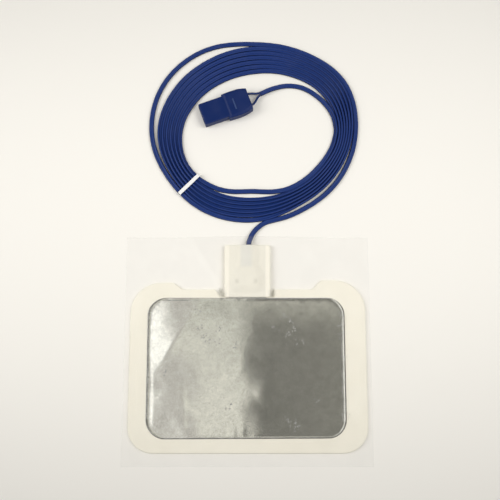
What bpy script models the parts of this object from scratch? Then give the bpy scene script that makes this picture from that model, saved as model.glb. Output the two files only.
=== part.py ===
"""Electrosurgical return electrode, modelled in metres with +Z up.

A single-plate patient return electrode as it lies after its pouch is opened: a foam backing with an
aluminium foil plate and a layer of clear conductive gel, a foam tab where the cord is crimped to a
tongue of the foil, and a clear release film over all of it. The flat twin cord is still wound in its
coil, held by one white band, and ends in a moulded two-pole plug.

The origin is on the underside of the foam, below the middle of the foil plate. +X runs to the right
across the pad, +Y from the pad towards its cord, and +Z up from the table to the sticky side.
"""

from math import ceil, copysign, cos, floor, hypot, pi, radians, sin

import bmesh
import bpy
from mathutils import Matrix, Vector

MM = 0.001

# Gaps between pieces that touch
LAYER_GAP = 0.05 * MM
SEAT_GAP = 0.1 * MM
TOUCH_GAP = 0.3 * MM

# Foil plate and its tongue
FOIL_WIDTH = 138.0 * MM
FOIL_LENGTH = 97.0 * MM
FOIL_CORNER = 11.5 * MM
FOIL_THICKNESS = 0.15 * MM
TONGUE_WIDTH = 26.0 * MM
TONGUE_LENGTH = 35.0 * MM
TONGUE_CORNER = 4.0 * MM

# Conductive gel on the foil
GEL_THICKNESS = 0.8 * MM
GEL_INSET = 1.2 * MM
GEL_ROUNDING = 0.35 * MM

# Foam backing: its borders are measured outwards from the foil
FOAM_THICKNESS = 1.6 * MM
FOAM_CORNER = 16.5 * MM
SIDE_BORDER = 14.7 * MM
BOTTOM_BORDER = 10.8 * MM
EAR_BORDER = 12.0 * MM
STRIP_BORDER = 6.0 * MM
STRIP_HALF_WIDTH = 45.0 * MM
EAR_SLOPE = 5.0 * MM

# Tab
TAB_WIDTH = 32.5 * MM
TAB_LENGTH = 38.0 * MM
TAB_CORNER = 1.2 * MM
NOTCH_WIDTH = 3.0 * MM
NOTCH_FLARE = 3.6 * MM
NOTCH_FLOOR = 0.6 * MM
COVER_THICKNESS = 1.6 * MM
COVER_START = 0.4 * MM
COVER_CELL = 2.2 * MM
CHANNEL_HALF_WIDTH = 5.5 * MM

# Cord: two cores side by side
CORE_DIAMETER = 1.7 * MM
CONDUCTOR_DIAMETER = 0.84 * MM
CORE_PITCH = 1.8 * MM
CORD_TUBE_DIAMETER = 2.4 * MM
CORD_POINT_SPACING = 7.5 * MM
CORE_POINT_SPACING = 2.2 * MM
STRIPPED_STEP = 0.1 * MM

# Crimps that join the cores to the foil's tongue
CRIMP_LENGTH = 4.0 * MM
CRIMP_BASE_WIDTH = 4.2 * MM
CRIMP_SHEET = 0.25 * MM
CRIMP_BORE = 1.0 * MM
CRIMP_SEAM_ANGLE = radians(40)
CRIMP_FOOT_ANGLE = 62.0
CRIMP_TO_BEND = 3.0 * MM
CRIMP_LEFT_X = -7.4 * MM
CRIMP_RIGHT_X = 5.8 * MM
CRIMP_FROM_FOIL = 9.6 * MM
CORD_ENTRY_X = 0.7 * MM
CORE_SPLIT_FROM_FOIL = 24.0 * MM

# Release film
FILM_WIDTH = 174.0 * MM
FILM_THICKNESS = 0.15 * MM
FILM_BELOW_FOAM = 9.0 * MM
FILM_BEYOND_TAB = 6.0 * MM
FILM_CELL = 6.0 * MM
FILM_CLEARANCE = 0.2 * MM
FILM_SLOPE_REACH = 16.0 * MM
FILM_TENT_REACH = 45.0 * MM
FILM_TENT_RISE = 0.5 * MM

# Coil: distances from its middle to the edge of the winding and the width that each turn takes there,
# every 30 degrees, anticlockwise from where the cord joins it
COIL_X = 3.5 * MM
COIL_Y = 171.6 * MM
KEY_STEP = 30.0
JOIN_ANGLE = 300.0
KEYS_PER_TURN = 12
LOOSE_TURN = [68.6, 72.4, 76.3, 79.2, 73.0, 69.8, 73.9, 76.0, 74.3, 70.1, 68.3, 66.2]
WINDING_EDGE = [66.1, 69.9, 74.4, 77.3, 71.2, 67.9, 66.4, 67.9, 70.0, 67.7, 66.8, 64.3]
TURN_PITCH = [2.40, 2.17, 1.83, 2.92, 3.25, 3.70, 3.62, 3.42, 3.07, 2.50, 2.95, 2.95]
LAST_TURN = [49.6, 44.7, 49.9, 55.1, 61.8]
FULL_TURNS = 6
LAST_TURN_KEY = KEYS_PER_TURN * (FULL_TURNS + 1) - 2
COIL_THICKNESS = 2.6 * MM
COIL_OUTLINE_STEP = 5.0

# The band that ties the coil
TIE_ANGLE = 221.0
TIE_TURN = radians(4.0)
TIE_WIDTH = 2.6 * MM
TIE_THICKNESS = 0.3 * MM
TIE_CORNER = 0.6 * MM
TIE_SLACK = 0.6 * MM
COIL_STEP_BESIDE_TIE = 8.0
TUBE_END_ANGLE = 3.5

# Plug
PLUG_X = -33.6 * MM
PLUG_Y = 183.3 * MM
PLUG_ANGLE = radians(20.0)
NOSE_LENGTH = 18.4 * MM
NOSE_WIDTH = 16.8 * MM
NOSE_HEIGHT = 7.4 * MM
NOSE_ROUNDING = 0.8 * MM
NOSE_OVERLAP = 3.0 * MM
GRIP_LENGTH = 19.0 * MM
GRIP_FRONT_WIDTH = 19.4 * MM
GRIP_MIDDLE_WIDTH = 20.0 * MM
GRIP_REAR_WIDTH = 16.4 * MM
GRIP_SWELL_PLACE = 0.48
GRIP_HEIGHT = 8.8 * MM
GRIP_ROUNDING = 0.35 * MM
SHOULDER_DROP = 1.2 * MM
SHOULDER_FRONT = 0.9 * MM
SHOULDER_REAR = 2.6 * MM
STEP_RAMP = 2.4 * MM
REAR_SHOULDER = 0.5 * MM
SHELL_SEAM = 0.12 * MM
RIB_LENGTH = 8.7 * MM
RIB_WIDTH = 1.1 * MM
RIB_HEIGHT = 0.5 * MM
RIB_ROOT = 1.0 * MM
RIB_ROUNDING = 0.3 * MM
RIB_BEHIND_STEP = 7.0 * MM
RIB_OFFSET = -0.8 * MM
CONTACT_SPACING = 9.0 * MM
CONTACT_DIAMETER = 3.3 * MM
CONTACT_BORE = 2.5 * MM
CONTACT_BORE_DEPTH = 11.0 * MM
CONTACT_RECESS = 1.0 * MM
CONTACT_LENGTH = 13.0 * MM
CONTACT_TAIL_LENGTH = 3.6 * MM
CONTACT_TAIL_DIAMETER = 2.1 * MM
CONTACT_CHAMFER = 0.25 * MM
WIRE_GRIP_LENGTH = 3.2 * MM
WIRE_END_GAP = 0.4 * MM
SPLIT_BEHIND_PLUG = 9.0 * MM
SPLIT_OFFSET = 2.0 * MM
SPLIT_HEIGHT = 2.6 * MM
SPLIT_STRAIGHT = 1.0 * MM
CORE_HELD_LENGTH = 4.0 * MM
CORE_STRAIGHT_LENGTH = 0.8 * MM
CUT_MARGIN = 5.0 * MM
CHANNEL_MARGIN = 1.0 * MM

# Heights of the layers above the table
FOIL_BOTTOM = FOAM_THICKNESS + LAYER_GAP
FOIL_TOP = FOIL_BOTTOM + FOIL_THICKNESS
GEL_BOTTOM = FOIL_TOP + LAYER_GAP
GEL_TOP = GEL_BOTTOM + GEL_THICKNESS
COVER_SEAT = FOIL_TOP + SEAT_GAP
CRIMP_BARREL_RADIUS = CRIMP_BORE / 2 + CRIMP_SHEET
CRIMP_AXIS = COVER_SEAT + CRIMP_SHEET + CRIMP_BORE / 2
CORE_HEIGHT = max(CRIMP_AXIS, COVER_SEAT + CORE_DIAMETER / 2)
CHANNEL_HEIGHT = CORE_HEIGHT + CORE_DIAMETER / 2 + 2 * TOUCH_GAP - COVER_SEAT
COVER_TOP = COVER_SEAT + COVER_THICKNESS
TENT_TOP = COVER_TOP + CHANNEL_HEIGHT + FILM_TENT_RISE

# Places along the pad
FOIL_END = FOIL_LENGTH / 2
TAB_END = FOIL_END + TAB_LENGTH
FOAM_HALF_WIDTH = FOIL_WIDTH / 2 + SIDE_BORDER
FOAM_BOTTOM = -FOIL_END - BOTTOM_BORDER
EAR_END = FOIL_END + EAR_BORDER
STRIP_END = FOIL_END + STRIP_BORDER
FILM_BOTTOM = FOAM_BOTTOM - FILM_BELOW_FOAM
FILM_END = TAB_END + FILM_BEYOND_TAB
CRIMP_START = FOIL_END + CRIMP_FROM_FOIL
CRIMP_END = CRIMP_START + CRIMP_LENGTH
CORES_STRAIGHT = CRIMP_END + CRIMP_TO_BEND

# Angles, counted up from the join, where the loose first and last turns leave the winding
LEAD_END_ANGLE = 360 + TIE_ANGLE - COIL_STEP_BESIDE_TIE - TUBE_END_ANGLE
TAIL_START_ANGLE = 360 * (FULL_TURNS + 1) + TIE_ANGLE + COIL_STEP_BESIDE_TIE + TUBE_END_ANGLE
TAIL_LEAVES_ANGLE = 360 * (FULL_TURNS + 2)

# Heights in the coil and the plug
COIL_BOTTOM = TIE_THICKNESS + TOUCH_GAP
CORD_RADIUS = CORD_TUBE_DIAMETER / 2
PLUG_MIDDLE = GRIP_HEIGHT / 2
PLUG_LENGTH = NOSE_LENGTH + GRIP_LENGTH

# The cord's free stretches, in millimetres: from the tab to the coil, and from the coil to the plug
LEAD_POINTS = [(0.7, 87.0, 2.8), (1.1, 88.6, 2.6), (2.0, 91.2, 2.2), (3.7, 95.0, 1.6)]
LEAD_POINTS += [(7.0, 99.2, 1.25), (12.8, 103.4, 1.2), (20.9, 105.7, 1.2), (29.5, 108.2, 1.2)]
TAIL_POINTS = [(65.1, 177.0, 1.2), (64.0, 182.8, 1.2), (61.4, 188.8, 1.2), (57.3, 194.6, 1.2)]
TAIL_POINTS += [(51.6, 200.2, 1.2), (44.6, 204.9, 1.2), (37.6, 207.5, 1.2), (28.6, 208.1, 1.3)]
TAIL_POINTS += [(18.6, 205.5, 1.8)]


def clear_scene():
    """Removes every object that the file opened with."""
    for thing in list(bpy.data.objects):
        bpy.data.objects.remove(thing, do_unlink=True)


def add_collection(name):
    group = bpy.data.collections.new(name)
    bpy.context.scene.collection.children.link(group)
    return group


clear_scene()
PARTS = add_collection("return_electrode")
CUTTERS = add_collection("plug_cutters")


def add_material(name, colour, roughness, metallic=0.0, alpha=1.0):
    """A Principled BSDF in one linear colour."""
    finish = bpy.data.materials.new(name)
    finish.use_nodes = True
    shader = finish.node_tree.nodes["Principled BSDF"]
    shader.inputs["Base Color"].default_value = (*colour, 1.0)
    shader.inputs["Roughness"].default_value = roughness
    shader.inputs["Metallic"].default_value = metallic
    shader.inputs["Alpha"].default_value = alpha
    return finish


def add_object(name, data, finish=None, group=None):
    thing = bpy.data.objects.new(name, data)
    (group or PARTS).objects.link(thing)
    if finish:
        data.materials.append(finish)
    return thing


def arc(x, y, radius, start, end, steps=6):
    """Points on a circle from one angle to another, in degrees."""
    turns = [radians(start + (end - start) * i / steps) for i in range(steps + 1)]
    return [(x + radius * cos(a), y + radius * sin(a)) for a in turns]


def rounded_rectangle(left, right, bottom, top, radius, steps=6):
    """The outline of a rectangle with round corners, anticlockwise from its bottom left."""
    outline = arc(left + radius, bottom + radius, radius, 180, 270, steps)
    outline += arc(right - radius, bottom + radius, radius, 270, 360, steps)
    outline += arc(right - radius, top - radius, radius, 0, 90, steps)
    outline += arc(left + radius, top - radius, radius, 90, 180, steps)
    return outline


def add_plate(name, outlines, thickness, finish):
    """A flat outline, with any holes as further outlines, made this thick about its own plane."""
    curve = bpy.data.curves.new(name, "CURVE")
    curve.dimensions = "2D"
    curve.fill_mode = "BOTH"
    curve.extrude = thickness / 2
    for outline in outlines:
        spline = curve.splines.new("POLY")
        spline.points.add(len(outline) - 1)
        for point, (x, y) in zip(spline.points, outline):
            point.co = (x, y, 0, 1)
        spline.use_cyclic_u = True
    return add_object(name, curve, finish)


def add_tube(name, points, diameter, finish, widths=None):
    """A round tube along the points. widths scales the diameter at each of them."""
    curve = bpy.data.curves.new(name, "CURVE")
    curve.dimensions = "3D"
    curve.bevel_depth = diameter / 2
    curve.bevel_resolution = 2
    curve.use_fill_caps = True
    spline = curve.splines.new("POLY")
    spline.points.add(len(points) - 1)
    for i, (x, y, z) in enumerate(points):
        spline.points[i].co = (x, y, z, 1)
        spline.points[i].radius = widths[i] if widths else 1.0
    return add_object(name, curve, finish)


def between(before, start, end, after, share):
    """A Catmull-Rom blend of four values or vectors, between the middle two."""
    a = start * 2
    b = (end - before) * share
    c = (before * 2 - start * 5 + end * 4 - after) * share**2
    d = (start * 3 - before - end * 3 + after) * share**3
    return (a + b + c + d) * 0.5


def smooth_path(points, spacing):
    """Points about this far apart on a smooth curve through the given ones."""
    knots = [Vector(p) for p in points]
    knots = [knots[0] * 2 - knots[1]] + knots + [knots[-1] * 2 - knots[-2]]
    fine = []
    for i in range(1, len(knots) - 2):
        fine += [between(*knots[i - 1 : i + 3], step / 16) for step in range(16)]
    fine.append(knots[-2])
    lengths = [0.0]
    for a, b in zip(fine, fine[1:]):
        lengths.append(lengths[-1] + (b - a).length)
    count = max(2, round(lengths[-1] / spacing))
    path = []
    at = 0
    for i in range(count + 1):
        wanted = lengths[-1] * i / count
        while at < len(fine) - 2 and lengths[at + 1] < wanted:
            at += 1
        share = (wanted - lengths[at]) / (lengths[at + 1] - lengths[at])
        path.append(fine[at].lerp(fine[at + 1], share))
    return path


# Foam, foil and gel


def foam_outline():
    """The die-cut backing, anticlockwise from its bottom left corner, with the tab and its two notches."""
    side = FOAM_HALF_WIDTH
    r = FOAM_CORNER
    floor_y = FOIL_END + NOTCH_FLOOR
    half_tab = TAB_WIDTH / 2
    slope = [i / 6 for i in range(7)]
    outline = arc(-side + r, FOAM_BOTTOM + r, r, 180, 270, 8)
    outline += arc(side - r, FOAM_BOTTOM + r, r, 270, 360, 8)
    outline += arc(side - r, EAR_END - r, r, 0, 90, 8)
    for share in slope:
        fall = (1 - cos(pi * share)) / 2
        x = STRIP_HALF_WIDTH + EAR_SLOPE * (1 - share)
        outline.append((x, EAR_END + (STRIP_END - EAR_END) * fall))
    outline += [(half_tab + NOTCH_WIDTH, STRIP_END), (half_tab + NOTCH_WIDTH, floor_y)]
    outline += [(half_tab, floor_y)]
    outline += arc(half_tab - TAB_CORNER, TAB_END - TAB_CORNER, TAB_CORNER, 0, 90, 4)
    outline += arc(TAB_CORNER - half_tab, TAB_END - TAB_CORNER, TAB_CORNER, 90, 180, 4)
    outline += [(-half_tab, floor_y), (-half_tab - NOTCH_WIDTH, floor_y)]
    outline += [(-half_tab - NOTCH_WIDTH - NOTCH_FLARE, STRIP_END)]
    for share in slope:
        rise = (1 - cos(pi * share)) / 2
        x = -STRIP_HALF_WIDTH - EAR_SLOPE * share
        outline.append((x, STRIP_END + (EAR_END - STRIP_END) * rise))
    outline += arc(-side + r, EAR_END - r, r, 90, 180, 8)
    return outline


def make_backing_foam():
    finish = add_material("cream_foam", (0.88, 0.84, 0.74), 0.85)
    foam = add_plate("backing_foam", [foam_outline()], FOAM_THICKNESS, finish)
    foam.location.z = FOAM_THICKNESS / 2


def make_foil_plate():
    """The plate and, from the middle of its far edge, the tongue that runs in under the tab's cover."""
    finish = add_material("aluminium_foil", (0.72, 0.72, 0.70), 0.25, metallic=1.0)
    half = FOIL_WIDTH / 2
    r = FOIL_CORNER
    tongue = TONGUE_WIDTH / 2
    tip = FOIL_END + TONGUE_LENGTH
    outline = arc(-half + r, -FOIL_END + r, r, 180, 270, 8)
    outline += arc(half - r, -FOIL_END + r, r, 270, 360, 8)
    outline += arc(half - r, FOIL_END - r, r, 0, 90, 8)
    outline.append((tongue, FOIL_END))
    outline += arc(tongue - TONGUE_CORNER, tip - TONGUE_CORNER, TONGUE_CORNER, 0, 90, 4)
    outline += arc(TONGUE_CORNER - tongue, tip - TONGUE_CORNER, TONGUE_CORNER, 90, 180, 4)
    outline.append((-tongue, FOIL_END))
    outline += arc(-half + r, FOIL_END - r, r, 90, 180, 8)
    foil = add_plate("foil_plate", [outline], FOIL_THICKNESS, finish)
    foil.location.z = (FOIL_BOTTOM + FOIL_TOP) / 2


def make_gel_layer():
    """Clear gel over the plate, a little smaller than it, with a soft rim."""
    finish = add_material("clear_gel", (0.9, 0.9, 0.88), 0.1, alpha=0.35)
    x = FOIL_WIDTH / 2 - GEL_INSET
    y = FOIL_END - GEL_INSET
    radius = FOIL_CORNER - GEL_INSET
    outline = rounded_rectangle(-x, x, -y, y, radius, 8)
    gel = add_plate("gel_layer", [outline], GEL_THICKNESS, finish)
    gel.location.z = (GEL_BOTTOM + GEL_TOP) / 2
    weld = gel.modifiers.new("weld", "WELD")
    weld.merge_threshold = 0.001 * MM
    rim = gel.modifiers.new("soft_rim", "BEVEL")
    rim.width = GEL_ROUNDING
    rim.segments = 2
    rim.limit_method = "ANGLE"
    rim.angle_limit = radians(60)


# Tab: crimps, cores and cover

CORE_SIDES = {"left": (-1, CRIMP_LEFT_X), "right": (1, CRIMP_RIGHT_X)}


def tab_core_route(side):
    """From the tab's end, down beside the other core, apart in an S and straight into the crimp."""
    sign, crimp_x = CORE_SIDES[side]
    beside = CORD_ENTRY_X + sign * CORE_PITCH / 2
    split = FOIL_END + CORE_SPLIT_FROM_FOIL
    route = [(beside, TAB_END - SEAT_GAP), (beside, (TAB_END + split) / 2)]
    for step in range(7):
        share = step / 6
        apart = (1 - cos(pi * share)) / 2
        route.append((beside + (crimp_x - beside) * apart, split + (CORES_STRAIGHT - split) * share))
    route.append((crimp_x, CRIMP_END + TOUCH_GAP))
    return [(x, y, CORE_HEIGHT) for x, y in route]


def make_tab_core(side, finish):
    """An insulated core whose bare end lies in the crimp's barrel."""
    path = smooth_path(tab_core_route(side), CORE_POINT_SPACING)
    x, y, z = path[-1]
    bare = CONDUCTOR_DIAMETER / CORE_DIAMETER
    path += [Vector((x, y - STRIPPED_STEP, z)), Vector((x, CRIMP_START + TOUCH_GAP, z))]
    widths = [1.0] * (len(path) - 2) + [bare, bare]
    add_tube(f"tab_core_{side}", path, CORE_DIAMETER, finish, widths)


def crimp_outline():
    """The strip under the barrel and the barrel itself, open in a seam along its top."""
    half = CRIMP_BASE_WIDTH / 2
    outer = CRIMP_BARREL_RADIUS
    inner = CRIMP_BORE / 2
    seam = CRIMP_SEAM_ANGLE * 90 / pi
    axis = CORE_HEIGHT - COVER_SEAT
    foot = CRIMP_FOOT_ANGLE
    outline = [(-half, 0.0), (half, 0.0), (half, CRIMP_SHEET)]
    outline += [(outer * sin(radians(foot)), CRIMP_SHEET)]
    outline += arc(0.0, axis, outer, foot - 90, 90 - seam, 10)
    outline += arc(0.0, axis, inner, 90 - seam, seam - 270, 16)
    outline += arc(0.0, axis, outer, 90 + seam, 270 - foot, 10)
    outline += [(-outer * sin(radians(foot)), CRIMP_SHEET), (-half, CRIMP_SHEET)]
    return outline


def make_crimp(side, finish):
    _, x = CORE_SIDES[side]
    crimp = add_plate(f"tab_crimp_{side}", [crimp_outline()], CRIMP_LENGTH, finish)
    crimp.rotation_euler.x = pi / 2
    crimp.location = (x, (CRIMP_START + CRIMP_END) / 2, COVER_SEAT)


def distance_to_run(x, y, start, end):
    """How far a point of the plan lies from the straight run between two others."""
    run = (end[0] - start[0], end[1] - start[1])
    share = ((x - start[0]) * run[0] + (y - start[1]) * run[1]) / (run[0] ** 2 + run[1] ** 2)
    share = min(1.0, max(0.0, share))
    return hypot(x - start[0] - share * run[0], y - start[1] - share * run[1])


def channel_rise(x, y):
    """How far the cover is pushed up here by the cord, its two cores and their crimps."""
    split = (CORD_ENTRY_X, FOIL_END + CORE_SPLIT_FROM_FOIL)
    nearest = distance_to_run(x, y, (CORD_ENTRY_X, TAB_END), split)
    nearest = max(0.0, nearest - CORE_PITCH / 2)
    for _, crimp_x in CORE_SIDES.values():
        bend = (crimp_x, CORES_STRAIGHT)
        nearest = min(nearest, distance_to_run(x, y, split, bend))
        nearest = min(nearest, distance_to_run(x, y, bend, (crimp_x, CRIMP_START)))
    if nearest >= CHANNEL_HALF_WIDTH:
        return 0.0
    return CHANNEL_HEIGHT * cos(pi / 2 * nearest / CHANNEL_HALF_WIDTH) ** 1.2


def add_sheet(name, left, right, bottom, top, cell, height, thickness, finish):
    """A grid whose points are lifted to the height of their place, made thick upwards."""
    columns = max(2, ceil((right - left) / cell))
    rows = max(2, ceil((top - bottom) / cell))
    bpy.ops.mesh.primitive_grid_add(x_subdivisions=columns, y_subdivisions=rows, size=1.0)
    sheet = bpy.context.object
    sheet.name = name
    for group in list(sheet.users_collection):
        group.objects.unlink(sheet)
    PARTS.objects.link(sheet)
    for vertex in sheet.data.vertices:
        x = left + (vertex.co.x + 0.5) * (right - left)
        y = bottom + (vertex.co.y + 0.5) * (top - bottom)
        vertex.co = (x, y, height(x, y))
    sheet.data.materials.append(finish)
    solid = sheet.modifiers.new("thickness", "SOLIDIFY")
    solid.thickness = thickness
    solid.offset = 1.0
    solid.use_even_offset = False
    return sheet


def make_tab_cover():
    """Foam laminated over the tongue, the crimps and the cord, which show as a soft ridge in it."""
    finish = add_material("cream_cover_foam", (0.90, 0.86, 0.76), 0.85)
    half = TAB_WIDTH / 2
    bottom = FOIL_END + COVER_START
    add_sheet(
        "tab_cover_foam",
        -half,
        half,
        bottom,
        TAB_END,
        COVER_CELL,
        lambda x, y: COVER_SEAT + channel_rise(x, y),
        COVER_THICKNESS,
        finish,
    )


def make_tab():
    core_finish = add_material("tab_core_blue", (0.01, 0.022, 0.13), 0.4)
    crimp_finish = add_material("tinned_brass", (0.75, 0.72, 0.66), 0.3, metallic=1.0)
    for side in CORE_SIDES:
        make_tab_core(side, core_finish.copy())
        make_crimp(side, crimp_finish.copy())
    make_tab_cover()


# Release film


def beyond(x, y, half_width, bottom, top):
    """How far a point of the plan lies outside a rectangle that is even about the Y axis."""
    return hypot(max(0.0, abs(x) - half_width), max(0.0, bottom - y, y - top))


def eased(share):
    """1 at a share of 0, falling smoothly to 0 at a share of 1."""
    share = min(1.0, max(0.0, share))
    return 1 - share * share * (3 - 2 * share)


def film_height(x, y):
    """The film lies on the gel, the foam and the tab, and slopes from them towards the table."""
    spare = FILM_CELL
    on_gel = beyond(x, y, FOIL_WIDTH / 2 + spare / 2, -FOIL_END - spare / 2, FOIL_END)
    on_foam = beyond(x, y, FOAM_HALF_WIDTH + spare, FOAM_BOTTOM - spare, EAR_END + spare)
    on_tab = beyond(x, y, TAB_WIDTH / 2 + spare, FOIL_END - spare, TAB_END + spare)
    ridge = hypot(x - CORD_ENTRY_X, max(0.0, CRIMP_START - y) * 3)
    ridge = max(0.0, ridge - CHANNEL_HALF_WIDTH)
    heights = [
        GEL_TOP * eased(on_gel / FILM_SLOPE_REACH),
        FOAM_THICKNESS * eased(on_foam / FILM_SLOPE_REACH),
        COVER_TOP * eased(on_tab / FILM_SLOPE_REACH),
        TENT_TOP * eased(ridge / FILM_TENT_REACH),
    ]
    return max(heights) + FILM_CLEARANCE


def make_release_film():
    finish = add_material("clear_film", (0.95, 0.95, 0.95), 0.05, alpha=0.12)
    half = FILM_WIDTH / 2
    box = (-half, half, FILM_BOTTOM, FILM_END)
    add_sheet("release_liner", *box, FILM_CELL, film_height, FILM_THICKNESS, finish)


# Coil and cord


def key_radius(key, rank):
    """Distance from the coil's middle at one key angle, this many turns in from the winding's edge."""
    turn = floor(key / KEYS_PER_TURN)
    place = key - turn * KEYS_PER_TURN
    return (WINDING_EDGE[place] - TURN_PITCH[place] * (rank + turn)) * MM


def key_strand(key):
    """Distance from the coil's middle to the middle of the cord, at a key angle counted from the join."""
    if key < KEYS_PER_TURN:
        return LOOSE_TURN[max(key, 0)] * MM
    if key >= LAST_TURN_KEY:
        return LAST_TURN[min(key - LAST_TURN_KEY, len(LAST_TURN) - 1)] * MM
    return key_radius(key - KEYS_PER_TURN, 0.5)


def strand_radius(place):
    """The same distance at any angle, where 1 is the step from one key angle to the next."""
    key = floor(place)
    return between(*[key_strand(key + i) for i in (-1, 0, 1, 2)], place - key)


def coil_point(angle, radius):
    """The point at an angle, in degrees, and a distance from the coil's middle."""
    return COIL_X + radius * cos(radians(angle)), COIL_Y + radius * sin(radians(angle))


def edge_point(angle, rank):
    """A point on the edge of the turn that has this rank, for angles within one turn of the join."""
    place = (angle - JOIN_ANGLE) % 360 / KEY_STEP
    key = floor(place)
    radii = [key_radius(key + i, rank) for i in (-1, 0, 1, 2)]
    return coil_point(angle, between(*radii, place - key))


def strand_points(first_angle, last_angle, height):
    """The cord's middle every 10 degrees or so, between two angles counted up from the join."""
    count = round((last_angle - first_angle) / 10)
    points = []
    for i in range(count + 1):
        angle = first_angle + (last_angle - first_angle) * i / count
        radius = strand_radius((angle - JOIN_ANGLE) / KEY_STEP)
        points.append((*coil_point(angle, radius), height))
    return points


def coil_edge(step_angle, rank_before, rank_after):
    """One edge of the winding, which moves by a turn's width where a loose turn joins or leaves it."""
    outline = []
    count = round(360 / COIL_OUTLINE_STEP)
    for i in range(count):
        angle = JOIN_ANGLE + i * 360 / count
        passed = (angle - JOIN_ANGLE) >= (step_angle - JOIN_ANGLE) % 360
        outline.append(edge_point(angle, rank_after if passed else rank_before))
    return outline


def make_cord_coil(finish):
    """The wound turns as one flat ring. The loose first and last turns are tubes beside it."""
    outer = coil_edge(TIE_ANGLE - COIL_STEP_BESIDE_TIE, 0, -1)
    inner = coil_edge(TIE_ANGLE + COIL_STEP_BESIDE_TIE, FULL_TURNS, FULL_TURNS - 1)
    coil = add_plate("cord_coil", [outer, inner], COIL_THICKNESS, finish)
    coil.location.z = COIL_BOTTOM + COIL_THICKNESS / 2


def lead_route():
    """From the tab, round the loose first turn, to where the turn joins the winding beside the tie."""
    points = [(x * MM, y * MM, z * MM) for x, y, z in LEAD_POINTS]
    return points + strand_points(JOIN_ANGLE, LEAD_END_ANGLE, CORD_RADIUS)


def plug_matrix():
    return Matrix.Translation((PLUG_X, PLUG_Y, 0.0)) @ Matrix.Rotation(PLUG_ANGLE, 4, "Z")


def split_point():
    """Where the twin cord ends and its two cores go on to the plug."""
    return plug_matrix() @ Vector((PLUG_LENGTH + SPLIT_BEHIND_PLUG, SPLIT_OFFSET, SPLIT_HEIGHT))


def tail_route():
    """From beside the tie, along the inside of the coil, and across to the plug's cores."""
    points = strand_points(TAIL_START_ANGLE, TAIL_LEAVES_ANGLE, CORD_RADIUS)
    points += [(x * MM, y * MM, z * MM) for x, y, z in TAIL_POINTS]
    return points + [split_point()]


def make_cord():
    lead_finish = add_material("cord_lead_blue", (0.01, 0.022, 0.13), 0.4)
    coil_finish = add_material("cord_coil_blue", (0.01, 0.022, 0.13), 0.4)
    tail_finish = add_material("cord_tail_blue", (0.01, 0.022, 0.13), 0.4)
    lead = smooth_path(lead_route(), CORD_POINT_SPACING)
    tail = smooth_path(tail_route(), CORD_POINT_SPACING)
    add_tube("cord_lead", lead, CORD_TUBE_DIAMETER, lead_finish)
    add_tube("cord_tail", tail, CORD_TUBE_DIAMETER, tail_finish)
    make_cord_coil(coil_finish)


def make_coil_tie():
    """A flat band closed round the winding."""
    finish = add_material("white_band", (0.85, 0.85, 0.85), 0.5)
    outer_edge = Vector(edge_point(TIE_ANGLE, -1))
    inner_edge = Vector(edge_point(TIE_ANGLE, FULL_TURNS))
    half = (outer_edge - inner_edge).length / 2 + TIE_SLACK
    top = COIL_THICKNESS + 2 * TOUCH_GAP + TIE_THICKNESS
    r = TIE_CORNER
    t = TIE_THICKNESS
    inner = rounded_rectangle(-half, half, t, top, r, 3)
    outer = rounded_rectangle(-half - t, half + t, 0.0, top + t, r + t, 3)
    tie = add_plate("coil_tie", [outer, inner], TIE_WIDTH, finish)
    tie.rotation_euler = (pi / 2, 0.0, radians(TIE_ANGLE) + TIE_TURN)
    tie.location = (*((outer_edge + inner_edge) / 2), 0.0)


# Plug: its own frame has X from the nose back towards the cord, Y across and Z up


def add_plug_empty():
    empty = add_object("plug_frame", None)
    empty.matrix_world = plug_matrix()
    return empty


def grip_outline():
    """The rear of the housing from above: it steps out from the nose, swells and narrows to the back."""
    rear = NOSE_LENGTH + GRIP_LENGTH
    middle = NOSE_LENGTH + GRIP_LENGTH * GRIP_SWELL_PLACE
    top = []
    for i in range(9):
        share = i / 8
        x = NOSE_LENGTH + share * GRIP_LENGTH
        front, swell, back = GRIP_FRONT_WIDTH / 2, GRIP_MIDDLE_WIDTH / 2, GRIP_REAR_WIDTH / 2
        lean = (x - middle) / ((NOSE_LENGTH if x < middle else rear) - middle)
        y = swell + ((front if x < middle else back) - swell) * lean**2
        top.append((x, y))
    return [(x, -y) for x, y in top] + top[::-1]


def mesh_object(name, mesh_maker, group):
    """A mesh object filled in by a function that is given an empty bmesh."""
    build = bmesh.new()
    mesh_maker(build)
    bmesh.ops.recalc_face_normals(build, faces=build.faces)
    mesh = bpy.data.meshes.new(name)
    build.to_mesh(mesh)
    build.free()
    return add_object(name, mesh, group=group)


def fill_box(build, low, high):
    size = [b - a for a, b in zip(low, high)]
    middle = [(a + b) / 2 for a, b in zip(low, high)]
    place = Matrix.Translation(middle) @ Matrix.Diagonal((*size, 1.0))
    bmesh.ops.create_cube(build, size=1.0, matrix=place)


def fill_rod(build, start, end, y, z, radius, sides=20):
    """A round rod along the plug's X."""
    place = Matrix.Translation(((start + end) / 2, y, z)) @ Matrix.Rotation(pi / 2, 4, "Y")
    bmesh.ops.create_cone(
        build,
        cap_ends=True,
        segments=sides,
        radius1=radius,
        radius2=radius,
        depth=end - start,
        matrix=place,
    )


def round_edges(build, width, segments=2, sharper_than=radians(50)):
    edges = [e for e in build.edges if e.calc_face_angle(0.0) > sharper_than]
    bmesh.ops.bevel(build, geom=edges, offset=width, segments=segments, affect="EDGES", profile=0.5)


def shoulder_point(x, y):
    """A point of the grip's outline moved in to the edge of its flat face."""
    share = (x - NOSE_LENGTH) / GRIP_LENGTH
    narrower = SHOULDER_FRONT + (SHOULDER_REAR - SHOULDER_FRONT) * share
    start, end = NOSE_LENGTH + STEP_RAMP, PLUG_LENGTH - REAR_SHOULDER
    return start + (end - start) * share, y - copysign(narrower, y)


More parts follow.
